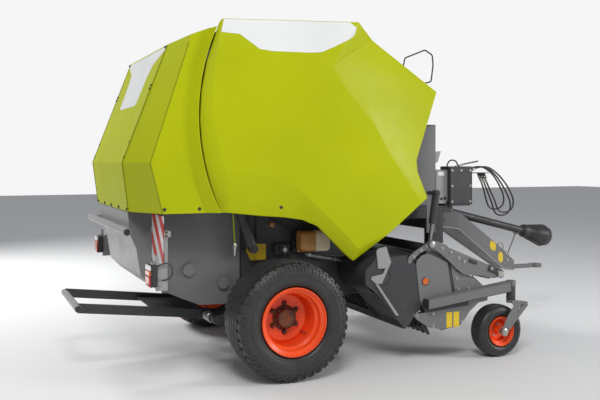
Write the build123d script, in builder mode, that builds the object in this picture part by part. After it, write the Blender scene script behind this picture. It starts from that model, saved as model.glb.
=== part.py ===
# Round baler with a fixed roller chamber, parked on its wheels, gauge wheels and jack.
# Millimetres. +X is the way it is towed, +Y its left side, +Z up; the ground is at zero height.
# Lengths below are measured forward from the axle, and every plane puts them in the part's frame.
from build123d import *
from math import acos, atan2, cos, degrees, hypot, pi, radians, sin, tan
import os

os.makedirs("parts", exist_ok=True)

SIDES = (("right", -1), ("left", 1))

# Whole machine
axle_x = -925.0            # axle, from the middle of the whole length
sheet = 4.0                # bent sheet panels
plate_t = 8.0              # frame plates
run_gap = 0.3              # between a pin and what turns on it

# Main wheels
tyre_r = 425.0
tyre_width = 390.0
bead_r = 216.0
wheel_y = 1000.0           # middle of the tyre, from the centre line
spindle_r = 30.0
hub_r = 85.0
rim_disc_y = 955.0         # face of the rim's dish, from the centre line
axle_box = 100.0
axle_half = 790.0

# Bale chamber
chamber_x, chamber_z = -212.0, 1370.0
roller_ring = 732.0
roller_r = 115.0
roller_shaft_r = 25.0
roller_pitch = 22.5
wall_y = 610.0             # inner face of the chamber's side walls
wall_t = 6.0
split_x = -216.0           # joint between the fixed half and the tailgate
split_gap = 8.0
pivot_x, pivot_z = -265.0, 2450.0
pivot_r = 28.0

# Feed rotor, pickup and its wheels
rotor_x, rotor_z = 740.0, 690.0
rotor_r = 168.0
rotor_core_r = 70.0
auger_r = 125.0
reel_x, reel_z = 1225.0, 505.0
tine_r = 303.0
tine_bar_ring = 150.0
band_r = 235.0
journal_r = 22.0
pickup_y = 1076.0          # inner face of the pickup's end plates
gauge_r = 205.0
gauge_width = 165.0
castor_x, castor_y = 1885.0, 1120.0
castor_pin_r = 20.0
gauge_x, gauge_y = 1785.0, 1060.0

# Tailgate panels
panel_y = 1000.0           # flat flank of the tailgate
rear_y = 660.0             # half width of the rear panel

# Side shields
shield_y = 1040.0          # outer face of the shields
shield_flange = 60.0
shield_hinge_y, shield_hinge_z = 905.0, 2535.0
shield_hinge_xs = (-120.0, 400.0)
shield_pin_r = 12.0
hood_y = 780.0             # half width of the hood between the shields

# Front end
post_x = (1380.0, 1467.0)
post_y = 600.0
pto_start = (1905.0, 1112.0)
pto_end = (3178.0, 801.4)
eye_x, eye_z = 3049.0, 525.0
eye_bore_r = 20.0
jack_x, jack_y = 1980.0, 250.0


def side_at(y):
    """Upright plane along the machine, drawn forward from the axle and up from the ground."""
    return Plane(origin=(axle_x, y, 0), x_dir=(1, 0, 0), z_dir=(0, -1, 0))


def level_at(z):
    """Level plane at a height, drawn forward from the axle and to the left."""
    return Plane(origin=(axle_x, 0, z))


def face_at(x):
    """Upright plane across the machine, drawn to the left and up from the ground."""
    return Plane(origin=(axle_x + x, 0, 0), x_dir=(0, 1, 0), z_dir=(1, 0, 0))


def place(x, y, z):
    """A point given from the axle, as a vector in the part's frame."""
    return Vector(axle_x + x, y, z)


def rod(start, end, radius, mode=Mode.ADD):
    """A round bar from one point to another."""
    first = place(*start)
    run = place(*end) - first
    with Locations(Plane(origin=first, z_dir=run)):
        Cylinder(radius, run.length, align=(Align.CENTER, Align.CENTER, Align.MIN), mode=mode)


def cross_rod(x, z, radius, y_low, y_high, mode=Mode.ADD):
    """A round bar lying across the machine."""
    rod((x, y_low, z), (x, y_high, z), radius, mode)


def block(xs, ys, zs, mode=Mode.ADD):
    """A square block between two lengths, two widths and two heights."""
    with Locations(place(sum(xs) / 2, sum(ys) / 2, sum(zs) / 2)):
        Box(abs(xs[1] - xs[0]), abs(ys[1] - ys[0]), abs(zs[1] - zs[0]), mode=mode)


def plate(points, y_first, y_last, mode=Mode.ADD):
    """A flat plate whose outline is seen from the side."""
    y_low, y_high = min(y_first, y_last), max(y_first, y_last)
    with BuildSketch(side_at(y_high)) as outline:
        with BuildLine():
            Polyline(*points, close=True)
        make_face()
    extrude(outline.sketch, amount=y_high - y_low, mode=mode)


def bent_sheet(points, thickness, y_first, y_last, mode=Mode.ADD):
    """A sheet bent along a line seen from the side; its thickness lies to the left of the line."""
    y_low, y_high = min(y_first, y_last), max(y_first, y_last)
    with BuildSketch(side_at(y_high)) as outline:
        with BuildLine():
            Polyline(*points)
            offset(amount=thickness, side=Side.LEFT, kind=Kind.INTERSECTION)
        make_face()
    extrude(outline.sketch, amount=y_high - y_low, mode=mode)


def box_beam(start, end, width, height, mode=Mode.ADD):
    """A square bar from one point to another, its width across the machine."""
    first = place(*start)
    run = place(*end) - first
    with Locations(Plane(origin=first, x_dir=(0, 1, 0), z_dir=run)):
        Box(width, height, run.length, align=(Align.CENTER, Align.CENTER, Align.MIN), mode=mode)


def ring_point(angle, radius=roller_ring):
    """A point on a circle about the chamber's centre, from straight ahead and upwards."""
    return (chamber_x + radius * cos(radians(angle)), chamber_z + radius * sin(radians(angle)))


# Main wheels: a ribbed implement tyre on a deeply dished rim, its hub set inwards
tyre_profile = (            # radius, distance from the tyre's middle
    (bead_r, 136), (247, 146), (257, 172), (300, 194), (350, 195), (392, 182), (414, 150),
)
shoulder_lugs = 30
lug_gap = 26.0
lug_cut = 14.0
groove_ys = (-90.0, -30.0, 30.0, 90.0)
groove = (16.0, 12.0)       # width, depth

for side, hand in SIDES:
    wheel_plane = Plane(origin=(axle_x, hand * wheel_y, tyre_r), x_dir=(1, 0, 0), z_dir=(0, 0, 1))
    wheel_axis = Axis((axle_x, hand * wheel_y, tyre_r), (0, 1, 0))
    with BuildPart() as tyre:
        with BuildSketch(wheel_plane):
            with BuildLine():
                inner = Polyline(*tyre_profile)
                crown = ThreePointArc(tyre_profile[-1], (tyre_r, 0), (tyre_profile[-1][0], -tyre_profile[-1][1]))
                outer = Polyline(*[(r, -w) for r, w in reversed(tyre_profile)])
                Line(outer @ 1, inner @ 0)
            make_face()
            for groove_y in groove_ys:
                with Locations((tyre_r, groove_y)):
                    Rectangle(2 * groove[1], groove[0], mode=Mode.SUBTRACT)
        revolve(axis=wheel_axis)
        notch_plane = Plane(origin=(axle_x, hand * wheel_y, tyre_r), x_dir=(1, 0, 0), z_dir=(0, 1, 0))
        for edge in (-1, 1):
            with Locations(notch_plane.offset(edge * 166)):
                with PolarLocations(tyre_r - lug_cut / 2, shoulder_lugs):
                    Box(2.6 * lug_cut, lug_gap, 60, mode=Mode.SUBTRACT)
    tyre.part.label = f"tyre_{side}"
    export_step(tyre.part, f"parts/tyre_{side}.step")

    rim_profile = (         # radius, distance out from the tyre's middle, along the inside of the barrel
        (243, 172), (243, 150), (bead_r, 139), (bead_r, 108), (196, 90), (196, -90),
        (bead_r, -108), (bead_r, -139), (243, -150), (243, -172),
        (236, -172), (236, -155), (208, -143), (206, -112), (188, -94), (188, -52), (160, -40),
        (118, rim_disc_y - wheel_y), (spindle_r + 30, rim_disc_y - wheel_y),
        (spindle_r + 30, rim_disc_y - wheel_y + 9), (122, rim_disc_y - wheel_y + 9), (164, -31), (188, -43),
        (188, 84), (206, 102), (208, 143), (236, 155), (236, 172),
    )
    with BuildPart() as rim:
        with BuildSketch(wheel_plane):
            with BuildLine():
                Polyline(*[(r, hand * w) for r, w in rim_profile], close=True)
            make_face()
        revolve(axis=wheel_axis)
        cross_rod(0, tyre_r, hub_r, *sorted((hand * (axle_half + 8), hand * rim_disc_y)))
        cross_rod(0, tyre_r, spindle_r + 28, *sorted((hand * rim_disc_y, hand * (rim_disc_y + 62))))
        cross_rod(0, tyre_r, spindle_r + run_gap, *sorted((hand * (axle_half + 8), hand * (rim_disc_y + 40))),
                  Mode.SUBTRACT)
    rim.part.label = f"rim_{side}"
    export_step(rim.part, f"parts/rim_{side}.step")

# Axle beam with its spindles, and the arms behind it that carry the bale ramp
ramp_pin_x, ramp_pin_z = -421.0, 378.0
ramp_pin_r = 22.0
ramp_arm_y = 690.0
with BuildPart() as axle:
    block((-axle_box / 2, axle_box / 2), (-axle_half, axle_half), (tyre_r - axle_box / 2, tyre_r + axle_box / 2))
    for side, hand in SIDES:
        cross_rod(0, tyre_r, spindle_r, *sorted((hand * axle_half, hand * (rim_disc_y + 38))))
        plate([(-axle_box / 2, 380), (-axle_box / 2, 470), (ramp_pin_x, ramp_pin_z + 38),
               (ramp_pin_x - 38, ramp_pin_z), (ramp_pin_x, ramp_pin_z - 38)],
              hand * ramp_arm_y, hand * (ramp_arm_y + 12))
        cross_rod(ramp_pin_x, ramp_pin_z, ramp_pin_r + run_gap, *sorted((hand * (ramp_arm_y - 5), hand * (ramp_arm_y + 20))),
                  Mode.SUBTRACT)
axle.part.label = "axle"
export_step(axle.part, "parts/axle.step")

# Chamber's fixed side walls, one sheet each, cut for the axle and drilled for the roller shafts
fixed_roller_angles = [79 - roller_pitch * n for n in range(5)] + [-57, -57 - roller_pitch]
fixed_edge = split_x + split_gap / 2
wall_outline = (
    (fixed_edge, 480), (-110, 470), (-85, 350), (85, 350), (120, 470), (560, 480), (700, 486),
    (850, 550), (905, 640), (912, 690), (900, 750), (860, 830), (790, 890), (700, 1010), (660, 1200), (660, 1700), (500, 2000),
    (150, 2240), (-120, 2330), (-222, 2440), (-232, 2476), (-265, 2492), (-300, 2478), (-318, 2440), (fixed_edge, 2330),
)
for side, hand in SIDES:
    with BuildPart() as wall:
        plate(wall_outline, hand * wall_y, hand * (wall_y + wall_t))
        block((-axle_box / 2, axle_box / 2), (hand * (wall_y - 5), hand * (wall_y + 20)),
              (tyre_r - axle_box / 2, tyre_r + axle_box / 2), Mode.SUBTRACT)
        for hole_x, hole_z, hole_r in ((rotor_x, rotor_z, rotor_core_r + run_gap), (pivot_x, pivot_z, pivot_r)):
            cross_rod(hole_x, hole_z, hole_r, *sorted((hand * (wall_y - 5), hand * (wall_y + 20))), Mode.SUBTRACT)
        for angle in fixed_roller_angles:
            x, z = ring_point(angle)
            cross_rod(x, z, 46, *sorted((hand * (wall_y + wall_t), hand * (wall_y + 34))))
    wall.part.label = f"side_wall_{side}"
    export_step(wall.part, f"parts/side_wall_{side}.step")


def ribbed_roller(x, z):
    """One chamber roller with its pressed ribs and the shaft ends that run in the walls."""
    cross_rod(x, z, roller_r - 8, -wall_y + 5, wall_y - 5)
    for rib in range(6):
        angle = radians(60 * rib)
        with Locations(Location(place(x + (roller_r - 9) * cos(angle), 0, z + (roller_r - 9) * sin(angle)),
                                (0, -degrees(angle), 0))):
            Box(18, 2 * wall_y - 12, 24)
    cross_rod(x, z, roller_shaft_r, -wall_y, wall_y)


with BuildPart() as front_rollers:
    for angle in fixed_roller_angles:
        ribbed_roller(*ring_point(angle))
front_rollers.part.label = "front_rollers"
export_step(front_rollers.part, "parts/front_rollers.step")

# Frame: rails along the walls, front posts, cross members and the tailgate's hinge tube
rail_z = (1080.0, 1180.0)
upper_rail_z = (1760.0, 1840.0)
rail_out_y = wall_y + wall_t + 60
with BuildPart() as frame:
    for side, hand in SIDES:
        rail_y = (hand * (wall_y + wall_t), hand * (wall_y + wall_t + 60))
        block((300, post_x[0]), rail_y, rail_z)
        block((560, post_x[0]), rail_y, upper_rail_z)
        block(post_x, (hand * (post_y - 30), hand * (wall_y + wall_t + 60)), (1000, 1850))
        block((1433, 1541), (hand * (post_y - 30), hand * (wall_y + wall_t + 60)), (870, rail_z[1]))
    block((1433, 1541), (-post_y + 30, post_y - 30), (985, rail_z[1]))
    block(post_x, (-post_y + 30, post_y - 30), (1770, 1850))
    cross_rod(pivot_x, pivot_z, pivot_r, -wall_y - 40, wall_y + 40)
frame.part.label = "frame"
export_step(frame.part, "parts/frame.step")

# Feed channel floor, bent round the rotor
floor_r = rotor_r + 22
with BuildPart() as feed_floor:
    with BuildSketch(side_at(wall_y - 0.5)):
        with BuildLine():
            under = CenterArc((rotor_x, rotor_z), floor_r, 200, 120)
            back = CenterArc((rotor_x, rotor_z), floor_r + 6, 200, 120)
            Line(under @ 0, back @ 0)
            Line(under @ 1, back @ 1)
        make_face()
    extrude(amount=2 * wall_y - 1)
feed_floor.part.label = "feed_floor"
export_step(feed_floor.part, "parts/feed_floor.step")

# Feed rotor: a core with staggered stars between the walls and auger flights outside them
star_count = 14
with BuildPart() as feed_rotor:
    cross_rod(rotor_x, rotor_z, rotor_core_r, -pickup_y - plate_t / 2, pickup_y + plate_t / 2)
    for n in range(star_count):
        y = -wall_y + 45 + n * (2 * wall_y - 90) / (star_count - 1)
        with BuildSketch(side_at(y + 5)) as star:
            for arm in range(4):
                turn = 90 * arm + 22.5 * (n % 4)
                with Locations(Location((rotor_x, rotor_z), turn)):
                    with Locations((rotor_r / 2, 0)):
                        Trapezoid(60, rotor_r, 82, rotation=-90)
        extrude(star.sketch, amount=10)
    for hand in (-1, 1):
        for n in range(4):
            y = hand * (wall_y + 90 + n * 95)
            with Locations(Plane(origin=place(rotor_x, y, rotor_z), z_dir=(0.25 * hand, 1, 0.1))):
                Cylinder(auger_r, 8)
feed_rotor.part.label = "feed_rotor"
export_step(feed_rotor.part, "parts/feed_rotor.step")

# Hood over the front half, between the side shields, with a bent wire over its front edge
hook_y = -500.0
hook_points = ((1200, 2088), (1281, 2414), (1476, 2491), (1548, 2452), (1556, 2368), (1536, 2222), (1440, 2205), (1300, 2078))
with BuildPart() as hood:
    hook_corners = [place(x, hook_y, z) for x, z in hook_points]
    with BuildLine() as hook_line:
        FilletPolyline(*hook_corners, radius=30)
    with BuildSketch(Plane(origin=hook_corners[0], z_dir=hook_corners[1] - hook_corners[0])):
        Circle(6)
    sweep(path=hook_line.line)
    bent_sheet([(1345, 1990), (1330, 2075), (1210, 2085), (700, 2410), (500, 2500), (-205, 2500)],
               sheet, -hood_y, hood_y)
    for hand in (-1, 1):
        plate([(-203, 2499), (-190, 2300), (-60, 2260), (180, 2345), (500, 2345), (760, 2230), (760, upper_rail_z[0] + 10),
               (880, upper_rail_z[0] + 10), (1080, 2050), (1200, 1960), (1200, upper_rail_z[0] + 10),
               (1330, upper_rail_z[0] + 10), (1340, 1985), (1326, 2074), (1208, 2084), (698, 2409), (499, 2499)],
              hand * rail_out_y, hand * (rail_out_y + sheet))
        block((-180, -90), (hand * (wall_y + wall_t), hand * (rail_out_y + 1)), (2270, 2315))
        for hinge_x in shield_hinge_xs:
            rod((hinge_x - 30, hand * shield_hinge_y, shield_hinge_z), (hinge_x + 10, hand * shield_hinge_y, shield_hinge_z),
                shield_pin_r)
            with BuildSketch(face_at(hinge_x)) as lug:
                with BuildLine():
                    Polyline((hand * 690, 2498), (hand * 690, 2506), (hand * 880, 2552), (hand * 925, 2552),
                             (hand * 928, 2520), (hand * 890, 2512), (hand * 770, 2498), close=True)
                make_face()
            extrude(lug.sketch, amount=10)
hood.part.label = "hood"
export_step(hood.part, "parts/hood.step")

# Net box at the front, open towards its door
net_x = (1010.0, 1440.0)
net_z = (1290.0, 1755.0)
net_half = 520.0
door_hinge_x, door_hinge_z = 1480.0, 1300.0
door_rod_r = 10.0
with BuildPart() as net_box:
    block(net_x, (-net_half, net_half), net_z)
    block((net_x[0] + 3, net_x[1] + 1), (-net_half + 3, net_half - 3), (net_z[0] + 3, net_z[1] - 3), Mode.SUBTRACT)
    for hand in (-1, 1):
        block((1385, 1430), (hand * net_half, hand * (post_y - 30)), (1400, 1480))
        lug_ys = (hand * (net_half - 40), hand * (net_half - 32))
        plate([(1400, 1293), (1440, 1284), (1484, 1282), (1498, 1300), (1484, 1318), (1444, 1306), (1400, 1306)], *lug_ys)
        cross_rod(door_hinge_x, door_hinge_z, door_rod_r + run_gap, *sorted((lug_ys[0] - hand * 4, lug_ys[1] + hand * 4)),
                  Mode.SUBTRACT)
net_box.part.label = "net_box"
export_step(net_box.part, "parts/net_box.step")

with BuildPart() as net_door:
    block((1446, 1449), (-net_half + 4, net_half - 4), (door_hinge_z + 8, net_z[1]))
    cross_rod(door_hinge_x, door_hinge_z, door_rod_r, -net_half + 24, net_half - 24)
    block((1446, door_hinge_x), (-net_half + 50, net_half - 50), (door_hinge_z - 2, door_hinge_z + 10))
net_door.part.label = "net_door"
export_step(net_door.part, "parts/net_door.step")

# Drawbar: two side plates that close to a point, with a floor between them, and the hitch eye
bar_root_y, bar_tip_y = 190.0, 46.0
bar_side = (                # length, height, half width, of the upper edge and of the lower edge
    (1541, 1087, 1000, bar_root_y), (2030, 1087, 930, bar_root_y),
    (2620, 700, 520, 75), (2760, 590, 500, bar_tip_y),
)


def bar_section(x, top, low, half, inner, open_top):
    """The drawbar's cross-section at one length, as a sketch."""
    with BuildSketch(face_at(x)) as section:
        with Locations((0, (top + open_top + low + inner) / 2)):
            Rectangle(2 * (half - inner), top + open_top - low - inner)
    return section.sketch


with BuildPart() as drawbar:
    loft([bar_section(x, top, low, half, 0, 0) for x, top, low, half in bar_side], ruled=True)
    loft([bar_section(x, top, low, half, 12, 5) for x, top, low, half in bar_side[:3]], ruled=True,
         mode=Mode.SUBTRACT)
    block((2740, 2960), (-35, 35), (eye_z - 16, eye_z + 16))
    with BuildSketch(level_at(eye_z - 16)):
        with Locations((eye_x, 0)):
            Circle(62)
        with Locations(((2950 + eye_x) / 2, 0)):
            Rectangle(eye_x - 2950, 62)
    extrude(amount=32)
    rod((eye_x, 0, eye_z - 40), (eye_x, 0, eye_z + 40), eye_bore_r, Mode.SUBTRACT)
    rod((2712, 0, 640), (2812, 0, 846), 6)
    rod((2812, -34, 846.5), (2812, 34, 846.5), 6)
drawbar.part.label = "drawbar"
export_step(drawbar.part, "parts/drawbar.step")

# Jack on the drawbar's left side
jack_tube_r = 38.0
jack_leg_r = 31.0
with BuildPart() as jack_tube:
    rod((jack_x, jack_y, 470), (jack_x, jack_y, 1010), jack_tube_r)
    rod((jack_x, jack_y, 460), (jack_x, jack_y, 1000), jack_leg_r + run_gap, Mode.SUBTRACT)
    block((jack_x - 40, jack_x + 40), (bar_root_y, jack_y - jack_tube_r + 6), (950, 1005))
jack_tube.part.label = "jack_tube"
export_step(jack_tube.part, "parts/jack_tube.step")

with BuildPart() as jack_leg:
    rod((jack_x, jack_y, 10), (jack_x, jack_y, 600), jack_leg_r)
    block((jack_x - 85, jack_x + 85), (jack_y - 85, jack_y + 85), (0, 12))
jack_leg.part.label = "jack_leg"
export_step(jack_leg.part, "parts/jack_leg.step")

# Gearbox and drive shaft with its guard cones
gearbox_half = 140.0
with BuildPart() as gearbox:
    block((1541, 1790), (-gearbox_half, gearbox_half), (1030, 1260))
gearbox.part.label = "gearbox"
export_step(gearbox.part, "parts/gearbox.step")

pto_run = (pto_end[0] - pto_start[0], pto_end[1] - pto_start[1])
pto_length = hypot(*pto_run)
pto_plane = Plane(origin=place(pto_start[0], 0, pto_start[1]), x_dir=(0, 1, 0), z_dir=(pto_run[0], 0, pto_run[1]))
yoke_bore_r = 17.5
with BuildPart() as pto_shaft:
    rod((1790, 0, pto_start[1]), (pto_start[0] + 30, 0, pto_start[1]), 28)
    with BuildSketch(Plane(origin=pto_plane.origin, x_dir=pto_plane.z_dir, z_dir=pto_plane.x_dir)):
        with BuildLine():
            Polyline((6, 30), (6, 78), (150, 62), (170, 36), (pto_length - 310, 36), (pto_length - 290, 62),
                     (pto_length - 200, 72), (pto_length - 60, 105), (pto_length, 88), (pto_length, 80),
                     (pto_length - 58, 97), (pto_length - 200, 40), (pto_length - 200, 0), (6, 0), close=True)
        make_face()
    revolve(axis=Axis(pto_plane.origin, pto_plane.z_dir))
    with Locations(pto_plane.offset(pto_length - 201)):
        Cylinder(34, 260, align=(Align.CENTER, Align.CENTER, Align.MIN))
    with Locations(pto_plane.offset(pto_length - 20)):
        Cylinder(yoke_bore_r, 100, align=(Align.CENTER, Align.CENTER, Align.MIN), mode=Mode.SUBTRACT)
pto_shaft.part.label = "pto_shaft"
export_step(pto_shaft.part, "parts/pto_shaft.step")

# Tailgate walls with the arms that hang on the hinge tube
gate_edge = split_x - split_gap / 2
gate_roller_angles = [101.5 + roller_pitch * n for n in range(8)]
gate_outline = (
    (gate_edge, 484), (-528, 493), (-678, 555), (-884, 648), (-964, 733), (-995, 929), (-1040, 1038),
    (-1050, 1200), (-1095, 1540), (-775, 2375), (-500, 2420), (-340, 2300), (gate_edge, 2240),
)
gate_arm_y = wall_y + wall_t + 6
gate_low, gate_kink, gate_top = 1195.0, 1540.0, 2390.0
gate_kink_x, gate_top_x = -1105.0, -780.0


def shell_inner_x(z):
    """Length at which the tailgate shell's inner face stands at a height above its kink."""
    share = (z - gate_kink) / (gate_top - sheet - gate_kink)
    return gate_kink_x + sheet + share * (gate_top_x - gate_kink_x)


ram_ear_y = 660.0
with BuildPart() as gate_walls:
    for side, hand in SIDES:
        plate(gate_outline, hand * wall_y, hand * (wall_y + wall_t))
        plate([(-700, 2150), (-560, 2120), (pivot_x + 20, pivot_z - 55), (pivot_x + 55, pivot_z),
               (pivot_x, pivot_z + 46), (-560, 2400)], hand * gate_arm_y, hand * (gate_arm_y + 12))
        block((-640, -480), (hand * (wall_y + 1), hand * (gate_arm_y + 1)), (2240, 2320))
        cross_rod(pivot_x, pivot_z, pivot_r + run_gap,
                  *sorted((hand * (gate_arm_y - 5), hand * (gate_arm_y + 20))), Mode.SUBTRACT)
        for angle in gate_roller_angles:
            x, z = ring_point(angle)
            cross_rod(x, z, 46, *sorted((hand * (wall_y + wall_t), hand * (wall_y + 34))))
        ear_ys = (hand * ram_ear_y, hand * (ram_ear_y + 12))
        plate([(-640, 2040), (-655, 1880), (-540, 1850), (-480, 1870), (-480, 1930), (-540, 2040)], *ear_ys)
        block((-640, -540), (hand * (wall_y + wall_t), hand * (ram_ear_y + 1)), (1960, 2040))
    plate([(shell_inner_x(2290), 2290), (shell_inner_x(2350), 2350), (-690, 2350), (-690, 2290)], -wall_y, wall_y)
    for hand in (-1, 1):
        plate([(shell_inner_x(1620), 1620), (shell_inner_x(1700), 1700), (-960, 1700), (-960, 1620)],
              hand * (wall_y - 1), hand * (wall_y - 13))
gate_walls.part.label = "gate_walls"
export_step(gate_walls.part, "parts/gate_walls.step")

with BuildPart() as gate_rollers:
    for angle in gate_roller_angles:
        ribbed_roller(*ring_point(angle))
gate_rollers.part.label = "gate_rollers"
export_step(gate_rollers.part, "parts/gate_rollers.step")

# Lower rear sheet, bent round under the chamber
with BuildPart() as gate_sheet:
    bent_sheet([(-1055, 1190), (-1045, 1038), (-995, 929), (-964, 733), (-884, 648), (-678, 555), (-528, 493),
                (-300, 486)], sheet, -wall_y + 0.5, wall_y - 0.5)
gate_sheet.part.label = "gate_sheet"
export_step(gate_sheet.part, "parts/gate_sheet.step")

# Tailgate shell: rear panel, slanted corners, flanks and the lip that flares out to the shields
def gate_form(inset):
    """The tailgate's outer body as one solid, with every face moved in by the inset."""
    with BuildPart() as form:
        low = gate_low - (5 if inset else 0)
        plate([(-1060 + inset, low), (gate_kink_x + inset, gate_kink), (gate_top_x + inset, gate_top - inset),
               (-562, 2475 - inset), (-562 + (5 if inset else 0), low)],
              -panel_y + inset, panel_y - inset)
        for hand in (-1, 1):
            corner = (          # height, rear edge, flank edge
                (low - 1, -1060, -896), (gate_kink, -1105, -981), (2505, -736, -670),
            )
            wedges = []
            for z, rear, flank in corner:
                with BuildSketch(level_at(z)) as wedge:
                    with BuildLine():
                        Polyline((rear + inset, hand * (rear_y - inset / 2)),
                                 (flank + inset, hand * (panel_y - inset / 2)),
                                 (flank - 400, hand * (panel_y + 300)),
                                 (rear - 400, hand * (rear_y - inset / 2)), close=True)
                    make_face()
                wedges.append(wedge.sketch)
            loft(wedges, ruled=True, mode=Mode.SUBTRACT)
    return form.part


flank_edge = ((-592, gate_low), (-726, 1880), (-566, 2470))
lip_edge = ((-500, gate_low), (-658, 1880), (-528, 2478))
lip_y = 1048.0


def edge_strip(y, edge):
    """A narrow strip along an arc seen from the side, as a sketch."""
    low, middle, top = edge
    with BuildSketch(side_at(y)) as strip:
        with BuildLine():
            front = ThreePointArc(low, middle, top)
            back = ThreePointArc(*[(x - sheet - 2, z) for x, z in edge])
            Line(front @ 0, back @ 0)
            Line(front @ 1, back @ 1)
        make_face()
    return strip.sketch


gate_hollow = gate_form(sheet)
with BuildPart() as gate_shell:
    add(gate_form(0))
    add(gate_hollow, mode=Mode.SUBTRACT)
    for hand in (-1, 1):
        with BuildSketch(side_at(panel_y + 2 if hand > 0 else -panel_y + sheet + 2)) as front_cut:
            with BuildLine():
                edge = ThreePointArc(*flank_edge)
                Polyline(edge @ 1, (-500, 2501), (-500, gate_low), edge @ 0)
            make_face()
        extrude(front_cut.sketch, amount=sheet + 4, mode=Mode.SUBTRACT)
        loft([edge_strip(hand * (panel_y - sheet), flank_edge), edge_strip(hand * lip_y, lip_edge)], ruled=True)
    bent_sheet([(-570, 2470), (-262, 2499)], sheet, -hood_y, hood_y)
gate_shell.part.label = "gate_shell"
export_step(gate_shell.part, "parts/gate_shell.step")


# Side shields: a flat face, a slanted front facet and a lower bevel, hollow towards the machine
shield_outline = (          # from the top of the rear edge round the front
    (-485, 2539), (569, 2583), (750, 2472), (1369, 2105), (1092, 1559), (1092, 1467), (1171, 1266),
    (1126, 1229), (839, 1012), (543, 805), (490, 847), (250, 1074), (130, 1124), (-16, 1147), (-434, 1190),
)
bevel_crease = ((-560, 1460), (-176, 1454), (-54, 1432), (61, 1374), (211, 1241), (404, 1068), (560, 905))
bevel_edge = ((-560, 1170), (-176, 1150), (-16, 1130), (120, 1108), (240, 1060), (350, 945), (560, 780))
bevel_depth = 42.0
facet_points = ((363, shield_y, 2243), (1121, shield_y, 1275), (1369, 850, 2105))


def shield_form(hand, grow, inset):
    """A solid inside the shield's outer faces: outline moved out by grow, faces moved in by inset."""
    with BuildPart() as form:
        with BuildSketch(side_at(0)):
            with BuildLine():
                front = Polyline(*shield_outline)
                ThreePointArc(front @ 1, (-556, 1940), front @ 0)
            make_face()
            if grow:
                offset(amount=grow, kind=Kind.INTERSECTION)
        extrude(amount=-hand * (shield_y - inset))
        block((-3000, 3000), (-760 * hand, 760 * hand), (0, 3000), Mode.SUBTRACT)
        first, second, third = [place(x, hand * y, z) for x, y, z in facet_points]
        facet = Plane(origin=first, x_dir=second - first, z_dir=(third - first).cross(second - first) * hand)
        split(bisect_by=facet.offset(-inset if facet.z_dir.Y * hand > 0 else inset),
              keep=Keep.BOTTOM if facet.z_dir.Y * hand > 0 else Keep.TOP)
        bevel_ends = []
        for y, upper in ((shield_y - inset + 1, bevel_crease), (shield_y - inset - bevel_depth, bevel_edge)):
            with BuildSketch(side_at(hand * y)) as bevel_end:
                with BuildLine():
                    Polyline(*upper, (600, 600), (-700, 600), close=True)
                make_face()
            bevel_ends.append(bevel_end.sketch)
        loft(bevel_ends, ruled=True, mode=Mode.SUBTRACT)
    return form.part


for side, hand in SIDES:
    outer_form = shield_form(hand, 0, 0)
    inner_form = shield_form(hand, -sheet, sheet)
    trim_form = shield_form(hand, 30, shield_flange)
    with BuildPart() as shield:
        add(outer_form)
        add(inner_form, mode=Mode.SUBTRACT)
        add(trim_form, mode=Mode.SUBTRACT)
        for hinge_x in shield_hinge_xs:
            block((hinge_x - 22, hinge_x - 10.3), (hand * shield_hinge_y, hand * (shield_y - 1)), (2512, 2546))
            eye_ends = [(x, hand * shield_hinge_y, shield_hinge_z) for x in (hinge_x - 22, hinge_x - 10.3)]
            rod(*eye_ends, 24)
            rod((hinge_x - 30, *eye_ends[0][1:]), (hinge_x, *eye_ends[0][1:]), shield_pin_r + run_gap, Mode.SUBTRACT)
    shield.part.label = f"shield_{side}"
    export_step(shield.part, f"parts/shield_{side}.step")


# Tailgate cylinders: barrel on the fixed wall, rod's eye beside an ear of the tailgate
ram_y = 720.0
ram_foot = (-150.0, 900.0)
ram_head = (-515.0, 1900.0)
ram_r, ram_rod_r = 38.0, 20.0
ram_barrel, ram_rod_length = 740.0, 960.0
ram_span = hypot(ram_head[0] - ram_foot[0], ram_head[1] - ram_foot[1])


def along(start, end, distance):
    """A point at a distance from one point towards another, both seen from the side."""
    span = hypot(end[0] - start[0], end[1] - start[1])
    share = distance / span
    return (start[0] + share * (end[0] - start[0]), start[1] + share * (end[1] - start[1]))


def cylinder_pair(name, foot, head, y, radius, rod_radius, barrel_length, rod_length, pin_inside, stroke_in):
    """A barrel and a rod between two eyes; the rod's pin ends beside its ear."""
    span = hypot(head[0] - foot[0], head[1] - foot[1])
    for side, hand in SIDES:
        mouth = along(foot, head, barrel_length)
        low = along(foot, head, radius - 12)
        inner = along(foot, head, span - rod_length)
        with BuildPart() as barrel:
            rod((low[0], hand * y, low[1]), (mouth[0], hand * y, mouth[1]), radius)
            cross_rod(foot[0], foot[1], radius - 4, hand * y - 22, hand * y + 22)
            cross_rod(foot[0], foot[1], 15 + run_gap, hand * y - 30, hand * y + 30, Mode.SUBTRACT)
            bore = along(foot, head, span - rod_length - 12 - stroke_in)
            past = along(foot, head, barrel_length + 5)
            rod((bore[0], hand * y, bore[1]), (past[0], hand * y, past[1]), rod_radius + run_gap, Mode.SUBTRACT)
        barrel.part.label = f"{name}_barrel_{side}"
        export_step(barrel.part, f"parts/{name}_barrel_{side}.step")
        with BuildPart() as piston_rod:
            rod((inner[0], hand * y, inner[1]), (head[0], hand * y, head[1]), rod_radius)
            cross_rod(head[0], head[1], rod_radius + 10, hand * y - 20, hand * y + 20)
            pin_ys = sorted((hand * y, hand * pin_inside))
            cross_rod(head[0], head[1], 14, *pin_ys)
        piston_rod.part.label = f"{name}_rod_{side}"
        export_step(piston_rod.part, f"parts/{name}_rod_{side}.step")


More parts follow.
